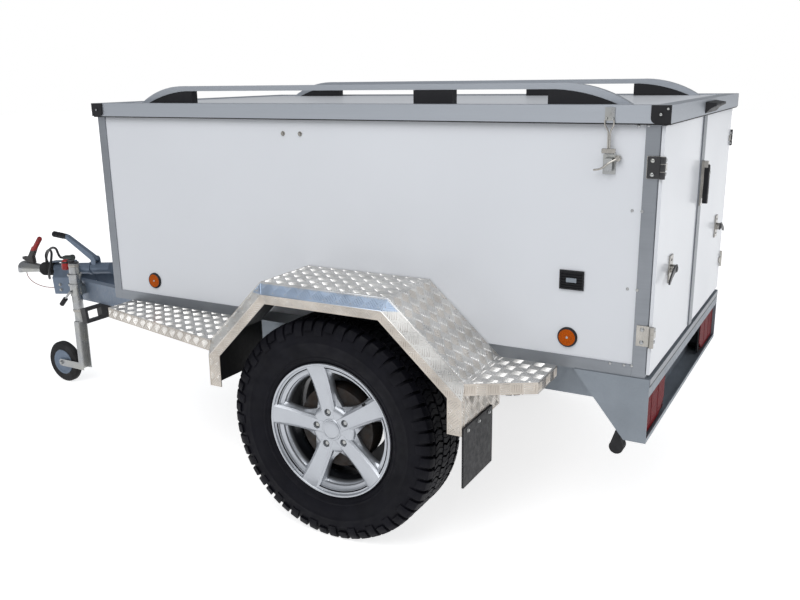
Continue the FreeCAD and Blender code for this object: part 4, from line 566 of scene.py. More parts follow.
class Shape:
    """Closed shells gathered into one mesh, each made in a frame of its own."""

    def __init__(self):
        self.mesh = bmesh.new()
        self.base = Matrix.Identity(4)
        self.frame = self.base

    def at(self, origin=(0.0, 0.0, 0.0), facing=TOP):
        """Make the next shells at a place on a surface that faces some way."""
        across = Vector(facing[0]).normalized()
        out = across.cross(Vector(facing[1])).normalized()
        turn = Matrix((across, out.cross(across), out)).transposed().to_4x4()
        self.frame = self.base @ Matrix.Translation(origin) @ turn
        return self

    def shift(self, step):
        """Move the next shells, along the surface and off it."""
        self.frame = self.frame @ Matrix.Translation(step)
        return self

    def skin(self, rings, closed=False):
        """Join rings of as many points, and close the ends unless the last ring meets the first."""
        rows = [[self.mesh.verts.new(self.frame @ Vector(point)) for point in ring] for ring in rings]
        count = len(rows[0])
        for low, high in zip(rows, rows[1:] + rows[:1] if closed else rows[1:]):
            for k in range(count):
                after = (k + 1) % count
                self.mesh.faces.new((low[k], low[after], high[after], high[k]))
        if not closed:
            self.mesh.faces.new(rows[0][::-1])
            self.mesh.faces.new(rows[-1])
        return self

    def slab(self, outline, low, high, bevel=0.0):
        """An outline pushed off the surface, with its outer edge bevelled."""
        levels = [(outline, low), (outline, high - bevel)]
        if bevel:
            levels.append((inset(outline, bevel), high))
        return self.skin([[(*point[:2], height) for point in line] for line, height in levels])

    def turned(self, profile, steps=24, closed=False):
        """A profile of (radius, height) pairs turned round the line that stands off the surface."""
        rings = [[(*point, height) for point in polygon(steps, radius)] for radius, height in profile]
        return self.skin(rings, closed)

    def tube(self, path, radius, sides=10):
        """A round bar along a path."""
        points = [Vector(point) for point in path]
        side = (points[1] - points[0]).orthogonal()
        rings = []
        for before, point, after in zip(points[:1] + points, points, points[1:] + points[-1:]):
            way = (after - before).normalized()
            side = (side - way * side.dot(way)).normalized()
            up = way.cross(side)
            rings.append([point + side * x + up * y for x, y in polygon(sides, radius)])
        return self.skin(rings)

    def dome(self, radius, height):
        """A low round head."""
        return self.turned([(radius, 0.0), (radius, height * 0.4), (radius * 0.86, height * 0.78),
                            (radius * 0.5, height)], 16)

    def bolt(self, size, turn=0.0):
        """A six-sided head on its washer."""
        self.turned([(size * 1.25, -size * 0.1), (size * 1.25, size * 0.22), (size * 1.15, size * 0.3)], 20)
        return self.slab(polygon(6, size, turn), size * 0.25, size * 0.95, size * 0.14)

    def other_side(self):
        """Add the same shells on the trailer's right."""
        everything = self.mesh.verts[:] + self.mesh.edges[:] + self.mesh.faces[:]
        copied = bmesh.ops.duplicate(self.mesh, geom=everything)["geom"]
        for part in copied:
            if isinstance(part, bmesh.types.BMVert):
                part.co.y = -part.co.y
        return self

    def keep(self, name, body, make, slot, *nodes, crease=38.0):
        """Turn the shells into a piece that rides on a body and stands for some nodes."""
        bmesh.ops.recalc_face_normals(self.mesh, faces=self.mesh.faces)
        mesh = bpy.data.meshes.new(name)
        self.mesh.to_mesh(mesh)
        self.mesh.free()
        mesh.shade_smooth()
        mesh.set_sharp_from_angle(angle=math.radians(crease))
        mesh.materials.append(make())
        piece = bpy.data.objects.new(name, mesh)
        bpy.context.collection.objects.link(piece)
        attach(piece, body)
        if nodes:
            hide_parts(*nodes)
        return piece


def outward(sign):
    """The way that a side of the trailer faces."""
    return LEFT if sign > 0 else RIGHT


def corners_of(node):
    """The lowest and the highest corner of a node's box."""
    return [Vector([float(value) for value in corner]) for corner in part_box(node)]


class TrailerTyres(bpy.types.PropertyGroup):
    """The tread of the road tyres."""

    pitches: bpy.props.IntProperty(name="Pitches", description="Tread blocks round the tyre",
                                   default=56, min=12)
    block_gap: length_value("Groove", 0.0065, "Width of the grooves between blocks")
    tread_depth: length_value("Tread depth", 0.0095, "Depth of the grooves")
    sipe: length_value("Sipe", 0.0014, "Width of the cut across each block", 0.0)


# The tyre's wall from its bead to its shoulder, as (distance from the middle, radius), in metres
TYRE_WALL = ((0.0885, 0.2032), (0.0892, 0.2215), (0.0925, 0.2262), (0.0965, 0.2300), (0.0985, 0.2330),
             (0.0990, 0.2350), (0.1020, 0.2372), (0.1042, 0.2400), (0.1044, 0.2425), (0.1040, 0.2450),
             (0.1078, 0.2530), (0.1110, 0.2640), (0.1136, 0.2770), (0.1147, 0.2870), (0.1157, 0.2890),
             (0.1160, 0.2915), (0.1152, 0.2940), (0.1148, 0.3020), (0.1134, 0.3160), (0.1100, 0.3300),
             (0.1040, 0.3410), (0.0950, 0.3480), (0.0800, 0.3512), (0.0450, 0.3522), (0.0150, 0.3524))

# A shoulder lug's section, in the same way: down its outside and back up under it
LUG_SECTION = ((0.0770, 0.3612), (0.0925, 0.3602), (0.1030, 0.3566), (0.1096, 0.3480), (0.1142, 0.3370),
               (0.1164, 0.3230), (0.1160, 0.3150), (0.1100, 0.3120), (0.1000, 0.3300), (0.0780, 0.3480))
# The lowest radius of a long lug, and how much higher a short one ends
LUG_FOOT = 0.3150
LUG_SHORTER = 0.015
# How far a lug leans round the tyre over its width, and the chamfer along its edges
LUG_LEAN = 0.18
LUG_CHAMFER = 0.0018
# Corners of a lug's section that its chamfer lowers
LUG_OUTSIDE = 7
# The rows of blocks, as (distance from the middle, way that their points face, shift in pitches)
TREAD_ROWS = ((-0.0490, 1, 0.0), (0.0, -1, 0.5), (0.0490, 1, 0.0))
ROW_WIDTH = 0.0425
# How much the tread falls towards its edges, for the square of the distance
CROWN_FALL = 0.26
# The point of a block and half the width of a lug, as shares of the block's length
BLOCK_POINT = 0.24
LUG_HALF = 0.44
BLOCK_CHAMFER = 0.001


def tread_block(shape, spread, turn, outline, floor, top):
    """A block of tread whose outline is given along and across the tread."""
    rings = []
    crest = inset(outline, BLOCK_CHAMFER)
    for line, radius in ((outline, floor), (outline, top - BLOCK_CHAMFER), (crest, top)):
        ring = []
        for along, across in line:
            out = radius - CROWN_FALL * (across + spread) ** 2
            angle = turn + along / top
            ring.append((out * math.cos(angle), out * math.sin(angle), across + spread))
        rings.append(ring)
    shape.skin(rings)


def shoulder_lug(shape, side, turn, half, shorter):
    """A lug over the tyre's shoulder, long or short, leaning a little round the tyre."""
    section = [(across, max(radius, LUG_FOOT + shorter)) for across, radius in LUG_SECTION]
    crest = half - 0.0015
    rings = []
    for edge, narrow in ((-half, 0.0), (-crest, LUG_CHAMFER), (crest, LUG_CHAMFER), (half, 0.0)):
        ring = []
        for k, (across, radius) in enumerate(section):
            lifted = radius - LUG_CHAMFER + narrow if k < LUG_OUTSIDE else radius
            angle = turn + (edge + (across - 0.09) * LUG_LEAN) / TYRE_RADIUS
            ring.append((lifted * math.cos(angle), lifted * math.sin(angle), side * across))
        rings.append(ring)
    shape.skin(rings)


def road_tyre(side_name, sign):
    """An all-terrain tyre: carcass, rows of interlocking blocks and lugs over both shoulders."""
    sizes = bpy.context.scene.trailer_tyres
    shape = Shape().at((WHEEL_CENTRE.x, sign * WHEEL_CENTRE.y, WHEEL_CENTRE.z), LEFT)
    section = list(TYRE_WALL) + [(-across, radius) for across, radius in reversed(TYRE_WALL)]
    shape.turned([(radius, across) for across, radius in section], sizes.pitches * 2, closed=True)
    pitch = math.tau / sizes.pitches
    length = pitch * TYRE_RADIUS - sizes.block_gap
    floor = TYRE_RADIUS - sizes.tread_depth
    half = ROW_WIDTH / 2
    point = length * BLOCK_POINT
    for k in range(sizes.pitches):
        for middle, way, shift in TREAD_ROWS:
            turn = math.tau * (k + shift) / sizes.pitches
            for start, end in ((-length / 2, -sizes.sipe / 2), (sizes.sipe / 2, length / 2)):
                outline = [(start, -half), (end, -half), (end + point, 0.0), (end, half),
                           (start, half), (start + point, 0.0)]
                outline = [((along - point / 2) * way, across) for along, across in outline]
                tread_block(shape, middle, turn, outline, floor, TYRE_RADIUS)
        for side in (-1, 1):
            turn = math.tau * (k + 0.25 * side) / sizes.pitches
            shoulder_lug(shape, side, turn, length * LUG_HALF, LUG_SHORTER if k % 2 else 0.0)
    node = "tyre_" + side_name
    shape.keep("road_" + node, "wheel_" + side_name, tyre_rubber, "tyre", node, crease=28.0)


class TRAILER_OT_tyres(bpy.types.Operator):
    """Make the two road tyres with their tread"""

    bl_idname = "trailer.tyres"
    bl_label = "Tyres"

    def execute(self, context):
        for side_name, sign in SIDES:
            road_tyre(side_name, sign)
        return {"FINISHED"}


# Places on the wheel: angles in degrees, lengths in metres, heights outwards from the tyre's middle
SPOKE_TURN = 5.0
SPOKES = 5
LUG_CIRCLE = 0.056
LUG_RECESS = 0.0118
LUG_FLOOR = 0.0670
SPOKE_FACE = 0.0790
CAP_FACE = 0.0825
BARREL_INSIDE = 0.180

# The rim's section round its barrel, as (radius, height)
RIM_SECTION = ((0.2203, 0.0900), (0.2203, 0.0952), (0.2190, 0.0972), (0.2150, 0.0972), (0.2128, 0.0955),
               (0.2118, 0.0900), (0.2085, 0.0872), (0.2050, 0.0866), (0.2020, 0.0850), (0.2008, 0.0798),
               (0.1975, 0.0775), (0.1925, 0.0768), (0.1890, 0.0752), (0.1876, 0.0690), (0.1845, 0.0665),
               (0.1812, 0.0600), (0.1800, 0.0500), (0.1800, 0.0050), (0.1960, -0.0180), (0.1960, -0.0850),
               (0.2040, -0.0955), (0.2190, -0.0970), (0.2203, -0.0950), (0.2203, -0.0900), (0.2050, -0.0885),
               (0.2031, -0.0850), (0.2031, -0.0250), (0.1900, -0.0050), (0.1900, 0.0450), (0.2031, 0.0620),
               (0.2031, 0.0850), (0.2070, 0.0890))

# Along each spoke: (distance from the middle, half the face's width, face's height, flare of its foot)
SPOKE_LINE = ((0.030, 0.0205, 0.0788, 0.020), (0.062, 0.0208, 0.0790, 0.020), (0.078, 0.0212, 0.0790, 0.014),
              (0.094, 0.0218, 0.0791, 0.007), (0.115, 0.0226, 0.0795, 0.002), (0.140, 0.0238, 0.0808, 0.001),
              (0.165, 0.0254, 0.0836, 0.003), (0.182, 0.0266, 0.0866, 0.008), (0.194, 0.0276, 0.0896, 0.013),
              (0.206, 0.0286, 0.0932, 0.015), (0.2145, 0.0292, 0.0960, 0.015))
SPOKE_FLANK = 0.0085
SPOKE_DEPTH = 0.030


def wheel_turn(sign, k):
    """The angle of a spoke in its wheel's frame, in radians."""
    angle = math.radians(SPOKE_TURN + 360.0 / SPOKES * k)
    return math.pi - angle if sign > 0 else angle


# The hub's face round its bore, as (radius, height)
HUB_SECTION = ((0.074, 0.036), (0.080, 0.060), (0.0790, 0.0670), (0.0740, 0.0735), (0.0660, 0.0775),
               (0.0560, 0.0787), (0.0360, 0.0789), (0.0345, 0.0806), (0.0325, 0.0810))

# The centre cap, as (radius, height over its foot)
CAP_SECTION = ((0.0306, -0.002), (0.0306, 0.0006), (0.0292, 0.0014), (0.0270, 0.0010),
               (0.0262, 0.0003), (0.0240, 0.0009), (0.0160, 0.0020), (0.0060, 0.0026))

# A black disc behind the brake, wider than a real dust shield, that puts painted shade in the wheel's
# windows, as (radius, height)
SHADE_DISC_SECTION = ((0.128, -0.061), (0.176, -0.061), (0.190, -0.056), (0.190, -0.055), (0.176, -0.060),
                  (0.128, -0.060))

# The valve's foot, bend and tip, as (distance inside the barrel, height), and its angle in degrees
VALVE_LINE = ((0.001, 0.055), (0.012, 0.060), (0.018, 0.088))
VALVE_TURN = 41.0


def wheel_place(sign):
    """Where a wheel's middle is, and which way its outside faces."""
    return (WHEEL_CENTRE.x, sign * WHEEL_CENTRE.y, WHEEL_CENTRE.z), outward(sign)


def spoke_section(half, flare):
    """A spoke cut across, from one foot over its face to the other, as (sideways, height)."""
    foot = half + SPOKE_FLANK + flare
    edge = ((-foot, -SPOKE_DEPTH), (-foot, -0.0165), (-half - SPOKE_FLANK, -0.0115),
            (-half - 0.0060, -0.0042), (-half, -0.0006), (-half + 0.0016, 0.0007), (-half + 0.0044, 0.0))
    return edge + tuple((-x, z) for x, z in reversed(edge))


def alloy_wheel(side_name, sign):
    """A five-spoke wheel whose spokes cross a stepped rim and end in its lip."""
    body = "wheel_" + side_name
    place = wheel_place(sign)
    face = Shape().at(*place).turned(HUB_SECTION, 72)
    recesses = Shape()
    for k in range(SPOKES):
        turn = wheel_turn(sign, k)
        out = Vector((math.cos(turn), math.sin(turn), 0.0))
        side = Vector((-out.y, out.x, 0.0))
        rings = []
        for reach, half, height, flare in SPOKE_LINE:
            section = spoke_section(half, flare)
            rings.append([out * reach + side * x + Vector((0.0, 0.0, height + z)) for x, z in section])
        face.skin(rings)
        recesses.at(*place).shift(out * LUG_CIRCLE)
        recesses.turned([(LUG_RECESS - 0.0012, LUG_FLOOR), (LUG_RECESS, SPOKE_FACE - 0.002),
                         (LUG_RECESS + 0.0012, SPOKE_FACE + 0.004)])
    drill(face, recesses)
    face.keep("alloy_face_" + side_name, body, silver_alloy, "alloy", crease=30.0)
    rim = Shape().at(*place).turned(RIM_SECTION, 96, closed=True)
    rim.keep("alloy_rim_" + side_name, body, silver_alloy, "alloy", body, crease=30.0)
    # Painted shade: a black disc that darkens the wheel's windows where only shade would fall.
    shade_disc = Shape().at(*place).turned(SHADE_DISC_SECTION, 64, closed=True)
    shade_disc.keep("brake_shield_" + side_name, "root", black_steel, "cast_iron")


def drill(shape, cutters):
    """Cut some shells out of a shape and leave one clean mesh."""
    whole, holes = bpy.data.meshes.new("whole"), bpy.data.meshes.new("holes")
    for part, mesh in ((shape, whole), (cutters, holes)):
        bmesh.ops.recalc_face_normals(part.mesh, faces=part.mesh.faces)
        part.mesh.to_mesh(mesh)
    pieces = [bpy.data.objects.new(mesh.name, mesh) for mesh in (whole, holes)]
    for piece in pieces:
        bpy.context.collection.objects.link(piece)
    cut = pieces[0].modifiers.new("drill", "BOOLEAN")
    cut.object = pieces[1]
    cut.operation = "DIFFERENCE"
    cut.solver = "EXACT"
    cut.use_self = True
    bpy.context.view_layer.update()
    done = pieces[0].evaluated_get(bpy.context.evaluated_depsgraph_get()).to_mesh()
    shape.mesh.clear()
    shape.mesh.from_mesh(done)
    cutters.mesh.free()
    for piece in pieces:
        bpy.data.objects.remove(piece)
    for mesh in (whole, holes):
        bpy.data.meshes.remove(mesh)


def wheel_fittings(side_name, sign):
    """Bolts in the lug recesses, a bare domed cap and a valve."""
    body = "wheel_" + side_name
    place = wheel_place(sign)
    bolts = Shape()
    for k in range(SPOKES):
        turn = wheel_turn(sign, k)
        bolts.at(*place).shift((LUG_CIRCLE * math.cos(turn), LUG_CIRCLE * math.sin(turn), LUG_FLOOR))
        bolts.bolt(0.0076, turn)
    bolts.keep("wheel_bolts_" + side_name, body, bright_zinc, "zinc")
    cap = Shape().at(*place).turned([(radius, CAP_FACE + height) for radius, height in CAP_SECTION], 40)
    cap.keep("centre_cap_" + side_name, body, silver_alloy, "alloy")
    turn = math.radians(VALVE_TURN)
    out = Vector((math.cos(turn), math.sin(turn), 0.0))
    line = [out * (BARREL_INSIDE - depth) + Vector((0.0, 0.0, height)) for depth, height in VALVE_LINE]
    bend, tip = line[1:]
    valve = Shape().at(*place).tube(rounded(line, 0.008, closed=False), 0.0034)
    valve.tube([tip - (tip - bend) * 0.3, tip], 0.0046, 12)
    valve.keep("valve_" + side_name, body, soft_rubber, "rubber")


class TRAILER_OT_wheels(bpy.types.Operator):
    """Make the alloy wheels with their bolts, caps and valves"""

    bl_idname = "trailer.wheels"
    bl_label = "Alloy wheels"

    def execute(self, context):
        for side_name, sign in SIDES:
            alloy_wheel(side_name, sign)
            wheel_fittings(side_name, sign)
        return {"FINISHED"}


class TrailerPlate(bpy.types.PropertyGroup):
    """The raised pattern of the tread plate."""

    cell: length_value("Cell", 0.0325, "Width of a group of bars", 0.01)
    bars: bpy.props.IntProperty(name="Bars", description="Bars in a group", default=5, min=1)
    bar_length: length_value("Bar length", 0.0285, "Length of a raised bar", 0.005)
    bar_width: length_value("Bar width", 0.0031, "Width of a raised bar")
    bar_height: length_value("Bar height", 0.0013, "Height of a raised bar", 0.0002)


# Shares of a bar's width: the shortest bar, the point at each end, and the crest
BAR_SHORTEST = 1.5
BAR_POINT = 0.8
BAR_CREST = 0.45
# How far a bar's foot goes into the plate
BAR_SUNK = 0.0003


def clipped(start, end, outline):
    """The stretch of a line inside a convex outline, or nothing where it misses."""
    way = end - start
    first, last = 0.0, 1.0
    for k, corner in enumerate(outline):
        edge = corner - outline[k - 1]
        inward = Vector((-edge.y, edge.x)).normalized()
        depth = inward.dot(start - corner)
        change = inward.dot(way)
        if abs(change) < 1e-9:
            if depth < 0:
                return None
            continue
        share = -depth / change
        if change > 0:
            first = max(first, share)
        else:
            last = min(last, share)
    return (start + way * first, start + way * last) if first < last else None


def raised_bars(shape, corners, turn):
    """Fill a flat convex face with groups of raised bars, each group square to the next."""
    sizes = bpy.context.scene.trailer_plate
    corners = [Vector(corner) for corner in corners]
    across = (corners[1] - corners[0]).normalized()
    out = across.cross(corners[-1] - corners[0]).normalized()
    along = out.cross(across)
    shape.at(corners[0], (across, along))
    steps_in = [corner - corners[0] for corner in corners]
    outline = [Vector((step.dot(across), step.dot(along))) for step in steps_in]
    inner = inset(outline, sizes.bar_width)
    cells = int(max(point.length for point in outline) / sizes.cell) + 2
    spin = Matrix.Rotation(math.radians(turn), 2)
    lows = [min(point[k] for point in outline) - sizes.cell for k in range(2)]
    highs = [max(point[k] for point in outline) + sizes.cell for k in range(2)]
    half = sizes.bar_length / 2
    for i in range(-cells, cells):
        for j in range(-cells, cells):
            middle = Vector(((i + 0.5) * sizes.cell, (j + 0.5) * sizes.cell))
            place = spin @ middle
            if not all(lows[k] < place[k] < highs[k] for k in range(2)):
                continue
            for k in range(sizes.bars):
                shift = (k - (sizes.bars - 1) / 2) * sizes.cell / sizes.bars
                ends = ((-half, shift), (half, shift)) if (i + j) % 2 else ((shift, -half), (shift, half))
                run = clipped(*[spin @ (middle + Vector(point)) for point in ends], inner)
                if run and (run[1] - run[0]).length > sizes.bar_width * BAR_SHORTEST:
                    raised_bar(shape, *run)


def raised_bar(shape, start, end):
    """One bar, pointed at both ends and narrower at its crest."""
    sizes = bpy.context.scene.trailer_plate
    way = (end - start).normalized()
    side = Vector((-way.y, way.x)) * sizes.bar_width / 2
    lead = way * sizes.bar_width * BAR_POINT
    rings = []
    for height, narrow, pull in ((-BAR_SUNK, 1.0, 0.0), (sizes.bar_height, BAR_CREST, 0.8)):
        first, last = start + lead * pull, end - lead * pull
        wide = side * narrow
        line = (first, first + lead - wide, last - lead - wide, last, last - lead + wide, first + lead + wide)
        rings.append([(point.x, point.y, height) for point in line])
    shape.skin(rings)


# Sizes of the folded plates
FENDER_BEVEL_WIDTH = 0.018
FENDER_BEVEL_DROP = 0.034
FENDER_SKIRT = 0.062
FENDER_FOOT_SKIRT = 0.044
FENDER_TOP_AHEAD = 0.213
FENDER_TOP_BEHIND = 0.235
BOARD_TOP = corners_of("running_boards")[1].z
FENDER_INNER = corners_of("fender_left")[0].y
FENDER_OUTER = corners_of("fender_left")[1].y
BOARD_REAR_OUTER = FENDER_OUTER - 0.012
BOARD_FRONT_OUTER = BOX_SIDE + 0.125
STEP_FRONT_OUTER = FENDER_OUTER - 0.014
STEP_REAR_OUTER = BOX_SIDE + 0.159
SEAM_RADIUS = 0.0016
PLATE = 0.0025
LINER_INSIDE = 0.004


def fender_line(low, high):
    """The fender's outline seen from the side, from its rear foot to its front foot."""
    top_rear, top_front = WHEEL_CENTRE.x - FENDER_TOP_BEHIND, WHEEL_CENTRE.x + FENDER_TOP_AHEAD
    return [(low.x, low.z), (low.x, BOARD_TOP), (top_rear, high.z), (top_front, high.z),
            (high.x, BOARD_TOP), (high.x, low.z)]


def fender_faces():
    """The flat faces of the left fender as corners seen from outside, and the seams of its folds."""
    low, high = corners_of("fender_left")
    outer, inner = high.y, low.y
    flat = outer - FENDER_BEVEL_WIDTH
    line = fender_line(low, high)
    slope, foot, skirt = FENDER_BEVEL_DROP, FENDER_FOOT_SKIRT, FENDER_SKIRT
    edge = moved_line(line, [0.0, slope, slope, slope, 0.0])
    mouth = moved_line(line, [foot, skirt, skirt, skirt, foot])
    folds = [(inner, line), (flat, line), (outer, edge), (outer, mouth)]
    faces = []
    for k in range(len(line) - 1):
        for (y0, first), (y1, second) in zip(folds, folds[1:]):
            run = [(y0, first[k]), (y0, first[k + 1]), (y1, second[k + 1]), (y1, second[k])]
            faces.append([(x, y, z) for y, (x, z) in run])
    seams = [[(x, y, z) for x, z in fold] for y, fold in folds[1:3]]
    for k in range(1, len(line) - 1):
        seams.append([(fold[k][0], y, fold[k][1]) for y, fold in folds[:3]])
    return faces, seams


def moved_line(line, distances):
    """Move each stretch of an open line to its right by its own distance, and end it level with the first."""
    runs = []
    for (x0, z0), (x1, z1), distance in zip(line, line[1:], distances):
        way = Vector((x1 - x0, z1 - z0)).normalized()
        runs.append((Vector((x0, z0)) + Vector((way.y, -way.x)) * distance, way))
    found = [runs[0][0]]
    for (first, way), (second, turn) in zip(runs, runs[1:]):
        share = (second - first).cross(turn) / way.cross(turn)
        found.append(first + way * share)
    last, way = runs[-1]
    found.append(Vector((last.x, line[-1][1])))
    return [tuple(point) for point in found]


def board_faces(node, rear_outer, front_outer, open_front):
    """The top, the skirt and the open end of a board on the left, as corners seen from outside."""
    low, high = corners_of(node)
    inner, rear, front, skirt = FENDER_INNER, low.x, high.x, low.z
    top = [(rear, inner), (front, inner), (front, front_outer), (rear, rear_outer)]
    side = [(front, front_outer), (rear, rear_outer)]
    end = [(front, inner), (front, front_outer)] if open_front else [(rear, rear_outer), (rear, inner)]
    faces = [[(*corner, BOARD_TOP) for corner in top]]
    for edge in (side, end):
        below = [(*corner, skirt) for corner in edge]
        faces.append(below + [(*corner, BOARD_TOP) for corner in reversed(edge)])
    return faces


# Angles of the raised pattern to the edges, in degrees
BIAS = 45.0
SQUARE = 0.0


class TRAILER_OT_plate(bpy.types.Operator):
    """Raise the bars of the tread plate and lay the seams of the fenders"""

    bl_idname = "trailer.plate"
    bl_label = "Tread plate"

    def execute(self, context):
        faces, seams = fender_faces()
        mirrored = [[(x, -y, z) for x, y, z in reversed(face)] for face in faces]
        for side_name, covered in (("left", faces), ("right", mirrored)):
            bars = Shape()
            for face in covered:
                raised_bars(bars, face, BIAS)
            bars.keep("fender_bars_" + side_name, "root", tread_plate, "tread_plate")
        boards = Shape()
        for face in board_faces("running_boards", BOARD_REAR_OUTER, BOARD_FRONT_OUTER, True):
            raised_bars(boards, face, BIAS)
        for face in board_faces("rear_steps", STEP_REAR_OUTER, STEP_FRONT_OUTER, False):
            raised_bars(boards, face, SQUARE)
        boards.other_side().keep("board_bars", "root", tread_plate, "tread_plate")
        low, high = corners_of("fender_left")
        line = fender_line(low, high)
        runs = len(line) - 1
        lining = moved_line(line, [PLATE * 1.2] * runs) + moved_line(line, [PLATE * 1.6] * runs)[::-1]
        liner = Shape()
        ends = (low.y + LINER_INSIDE, high.y - FENDER_BEVEL_WIDTH - 0.001)
        liner.skin([[(x, y, z) for x, z in lining] for y in ends])
        liner.other_side().keep("fender_liners", "root", black_plastic, "black_plastic")
        welds = Shape()
        for seam in seams:
            welds.tube(seam, SEAM_RADIUS, 8)
        welds.other_side().keep("fender_seams", "root", tread_plate, "tread_plate")
        return {"FINISHED"}


class TrailerFittings(bpy.types.PropertyGroup):
    """Sizes of the small fittings."""

    rivet: length_value("Rivets", 0.0042, "Radius of the rivets' heads")
    screw: length_value("Screws", 0.0050, "Radius of the screws' heads")
    gasket: length_value("Gasket", 0.0034, "Height of the seal under the lid")


# Rivets and bolts of the side wall, as (distance behind the wheel's axle, height)
PANEL_RIVETS = ((0.8357, 1.070), (0.8357, 0.856), (0.840, 1.291))
STRUT_BOLTS = ((-0.2945, 1.250), (-0.2275, 1.250))
POST_RIVETS = ((0.8625, 1.070), (0.8625, 0.856), (0.866, 1.292),
               (0.8003, 0.638), (0.8393, 0.639), (0.8602, 0.640))

# The strip over the tail beam, and below it a thin black strip that is painted shade for a gap, as (depth
# below the boards, height, thickness, bevel)
BEAM_STRIP = (0.0095, 0.019, 0.0016, 0.0005)
BEAM_SHADE_STRIP = (0.0225, 0.005, 0.0006, 0.0)


def place_behind(behind, y, z):
    """A place given from the wheel's axle."""
    return (WHEEL_CENTRE.x - behind, y, z)


def beam_trim(depth, height, thickness, bevel, shorter):
    """A strip across the face of the tail beam."""
    beam = corners_of("tail_beam")[0]
    strip = Shape().at((beam.x, 0.0, BOARD_TOP - depth), REAR)
    return strip.slab(oblong(-2 * beam.y - shorter, height), 0.0, thickness, bevel)


class TRAILER_OT_box_fittings(bpy.types.Operator):
    """Rivet the walls to their posts and lay the strip over the tail beam"""

    bl_idname = "trailer.box_fittings"
    bl_label = "Rivets and strips"

    def execute(self, context):
        sizes = context.scene.trailer_fittings
        rivets = Shape()
        for face, places in ((PANEL_FACE, PANEL_RIVETS), (BOX_SIDE, POST_RIVETS)):
            for behind, height in places:
                rivets.at(place_behind(behind, face, height), LEFT).dome(sizes.rivet, sizes.rivet * 0.5)
        rivets.other_side().keep("wall_rivets", "root", bright_zinc, "zinc")
        struts = Shape()
        for behind, height in STRUT_BOLTS:
            struts.at(place_behind(behind, PANEL_FACE, height), LEFT).bolt(0.0062, behind)
        struts.other_side().keep("strut_bolts", "root", stainless_steel, "stainless")
        beam_trim(*BEAM_STRIP, 0.0).keep("beam_strip", "root", anodised_profile, "anodised")
        # Painted shade: a thin black sheet on the beam's face where a shadowed gap shows.
        beam_trim(*BEAM_SHADE_STRIP, 0.004).keep("beam_slot", "root", black_plastic, "black_plastic")
        return {"FINISHED"}


# The lid's grip in layers, as (distance out, width, height, lift), and the height of its middle
GRIP_LAYERS = ((0.0, 0.196, 0.034, -0.002), (0.003, 0.194, 0.032, -0.001), (0.012, 0.186, 0.020, 0.003),
               (0.024, 0.178, 0.011, 0.006), (0.029, 0.176, 0.009, 0.0065), (0.030, 0.172, 0.006, 0.0065))
GRIP_HEIGHT = 1.321
GRIP_CORNER = 0.004


class TRAILER_OT_lid_fittings(bpy.types.Operator):
    """Fit the lid's seal, its handle and the screws of its corner caps"""

    bl_idname = "trailer.lid_fittings"
    bl_label = "Lid fittings"

    def execute(self, context):
        sizes = context.scene.trailer_fittings
        low, high = corners_of("lid_frame")
        middle, half = (low + high) / 2, sizes.gasket / 2
        inner, outer = BOX_SIDE + 0.0006, high.y - 0.0006
        seal = Shape()
        for side in (-1, 1):
            seal.at((middle.x, side * (inner + outer) / 2, low.z - half))
            seal.slab(oblong(high.x - low.x - 0.004, outer - inner), -half, half)
        seal.at((low.x + 0.0065, 0.0, low.z - half)).slab(oblong(0.009, 2 * high.y - 0.004), -half, half)
        seal.keep("lid_seal", "lid", soft_rubber, "rubber")
        screws = Shape()
        face = corners_of("lid_caps")[1].y - 0.0026
        for x in (low.x + 0.025, high.x - 0.025):
            screws.at((x, face, middle.z), LEFT).dome(sizes.screw, sizes.screw * 0.6)
        screws.at((low.x + 0.008, face, high.z - 0.009), LEFT).dome(sizes.rivet * 0.8, sizes.rivet * 0.5)
        screws.other_side().keep("cap_screws", "lid", bright_zinc, "zinc")
        grip = Shape().at((corners_of("lid_handle")[1].x + 0.0002, 0.0, GRIP_HEIGHT), REAR)
        rings = []
        for out, wide, tall, lift in GRIP_LAYERS:
            line = rounded([(x, z + lift) for x, z in oblong(wide, tall)], GRIP_CORNER)
            rings.append([(*point[:2], out) for point in line])
        grip.skin(rings)
        grip.keep("lid_grip", "lid", black_plastic, "black_plastic", "lid_handle")
        return {"FINISHED"}


# The reflector's rim, as (share of the lens's radius, height)
REFLECTOR_RIM = ((0.98, 0.0), (1.13, 0.0), (1.12, 0.0034), (1.05, 0.0066), (0.97, 0.0078), (0.93, 0.0074),
                 (0.95, 0.005))
VENT_SLATS = 6
SLAT_FACING = ((-1.0, 0.0, 0.0), (0.0, 0.5, 0.86))

# The tail lamp's inner and outer edge, foot and top
LAMP_EDGES = (0.2967, 0.5547, 0.4302, 0.5452)
LAMP_RIBS = 9


def reflector_trim():
    """Rims, rings and screws of the side reflectors."""
    low, high = corners_of("side_reflectors")
    radius = (high.z - low.z) / 2
    height = (high.z + low.z) / 2
    rims, lenses, screws = Shape(), Shape(), Shape()
    for x in (low.x + radius, high.x - radius):
        rims.at((x, PANEL_FACE, height), LEFT)
        rims.turned([(radius * share, out) for share, out in REFLECTOR_RIM], 40, closed=True)
        lenses.at((x, high.y, height), LEFT)
        for ring in (0.38, 0.66):
            lenses.turned([(radius * ring - 0.0011, -0.0004), (radius * ring, 0.0008),
                           (radius * ring + 0.0011, -0.0004)], 36, closed=True)
        screws.at((x, high.y, height), LEFT).dome(0.0036, 0.0014)
    rims.other_side().keep("reflector_rims", "root", black_plastic, "black_plastic")
    lenses.other_side().keep("reflector_rings", "root", amber_lens, "amber_lens")
    screws.other_side().keep("reflector_screws", "root", bright_zinc, "zinc")


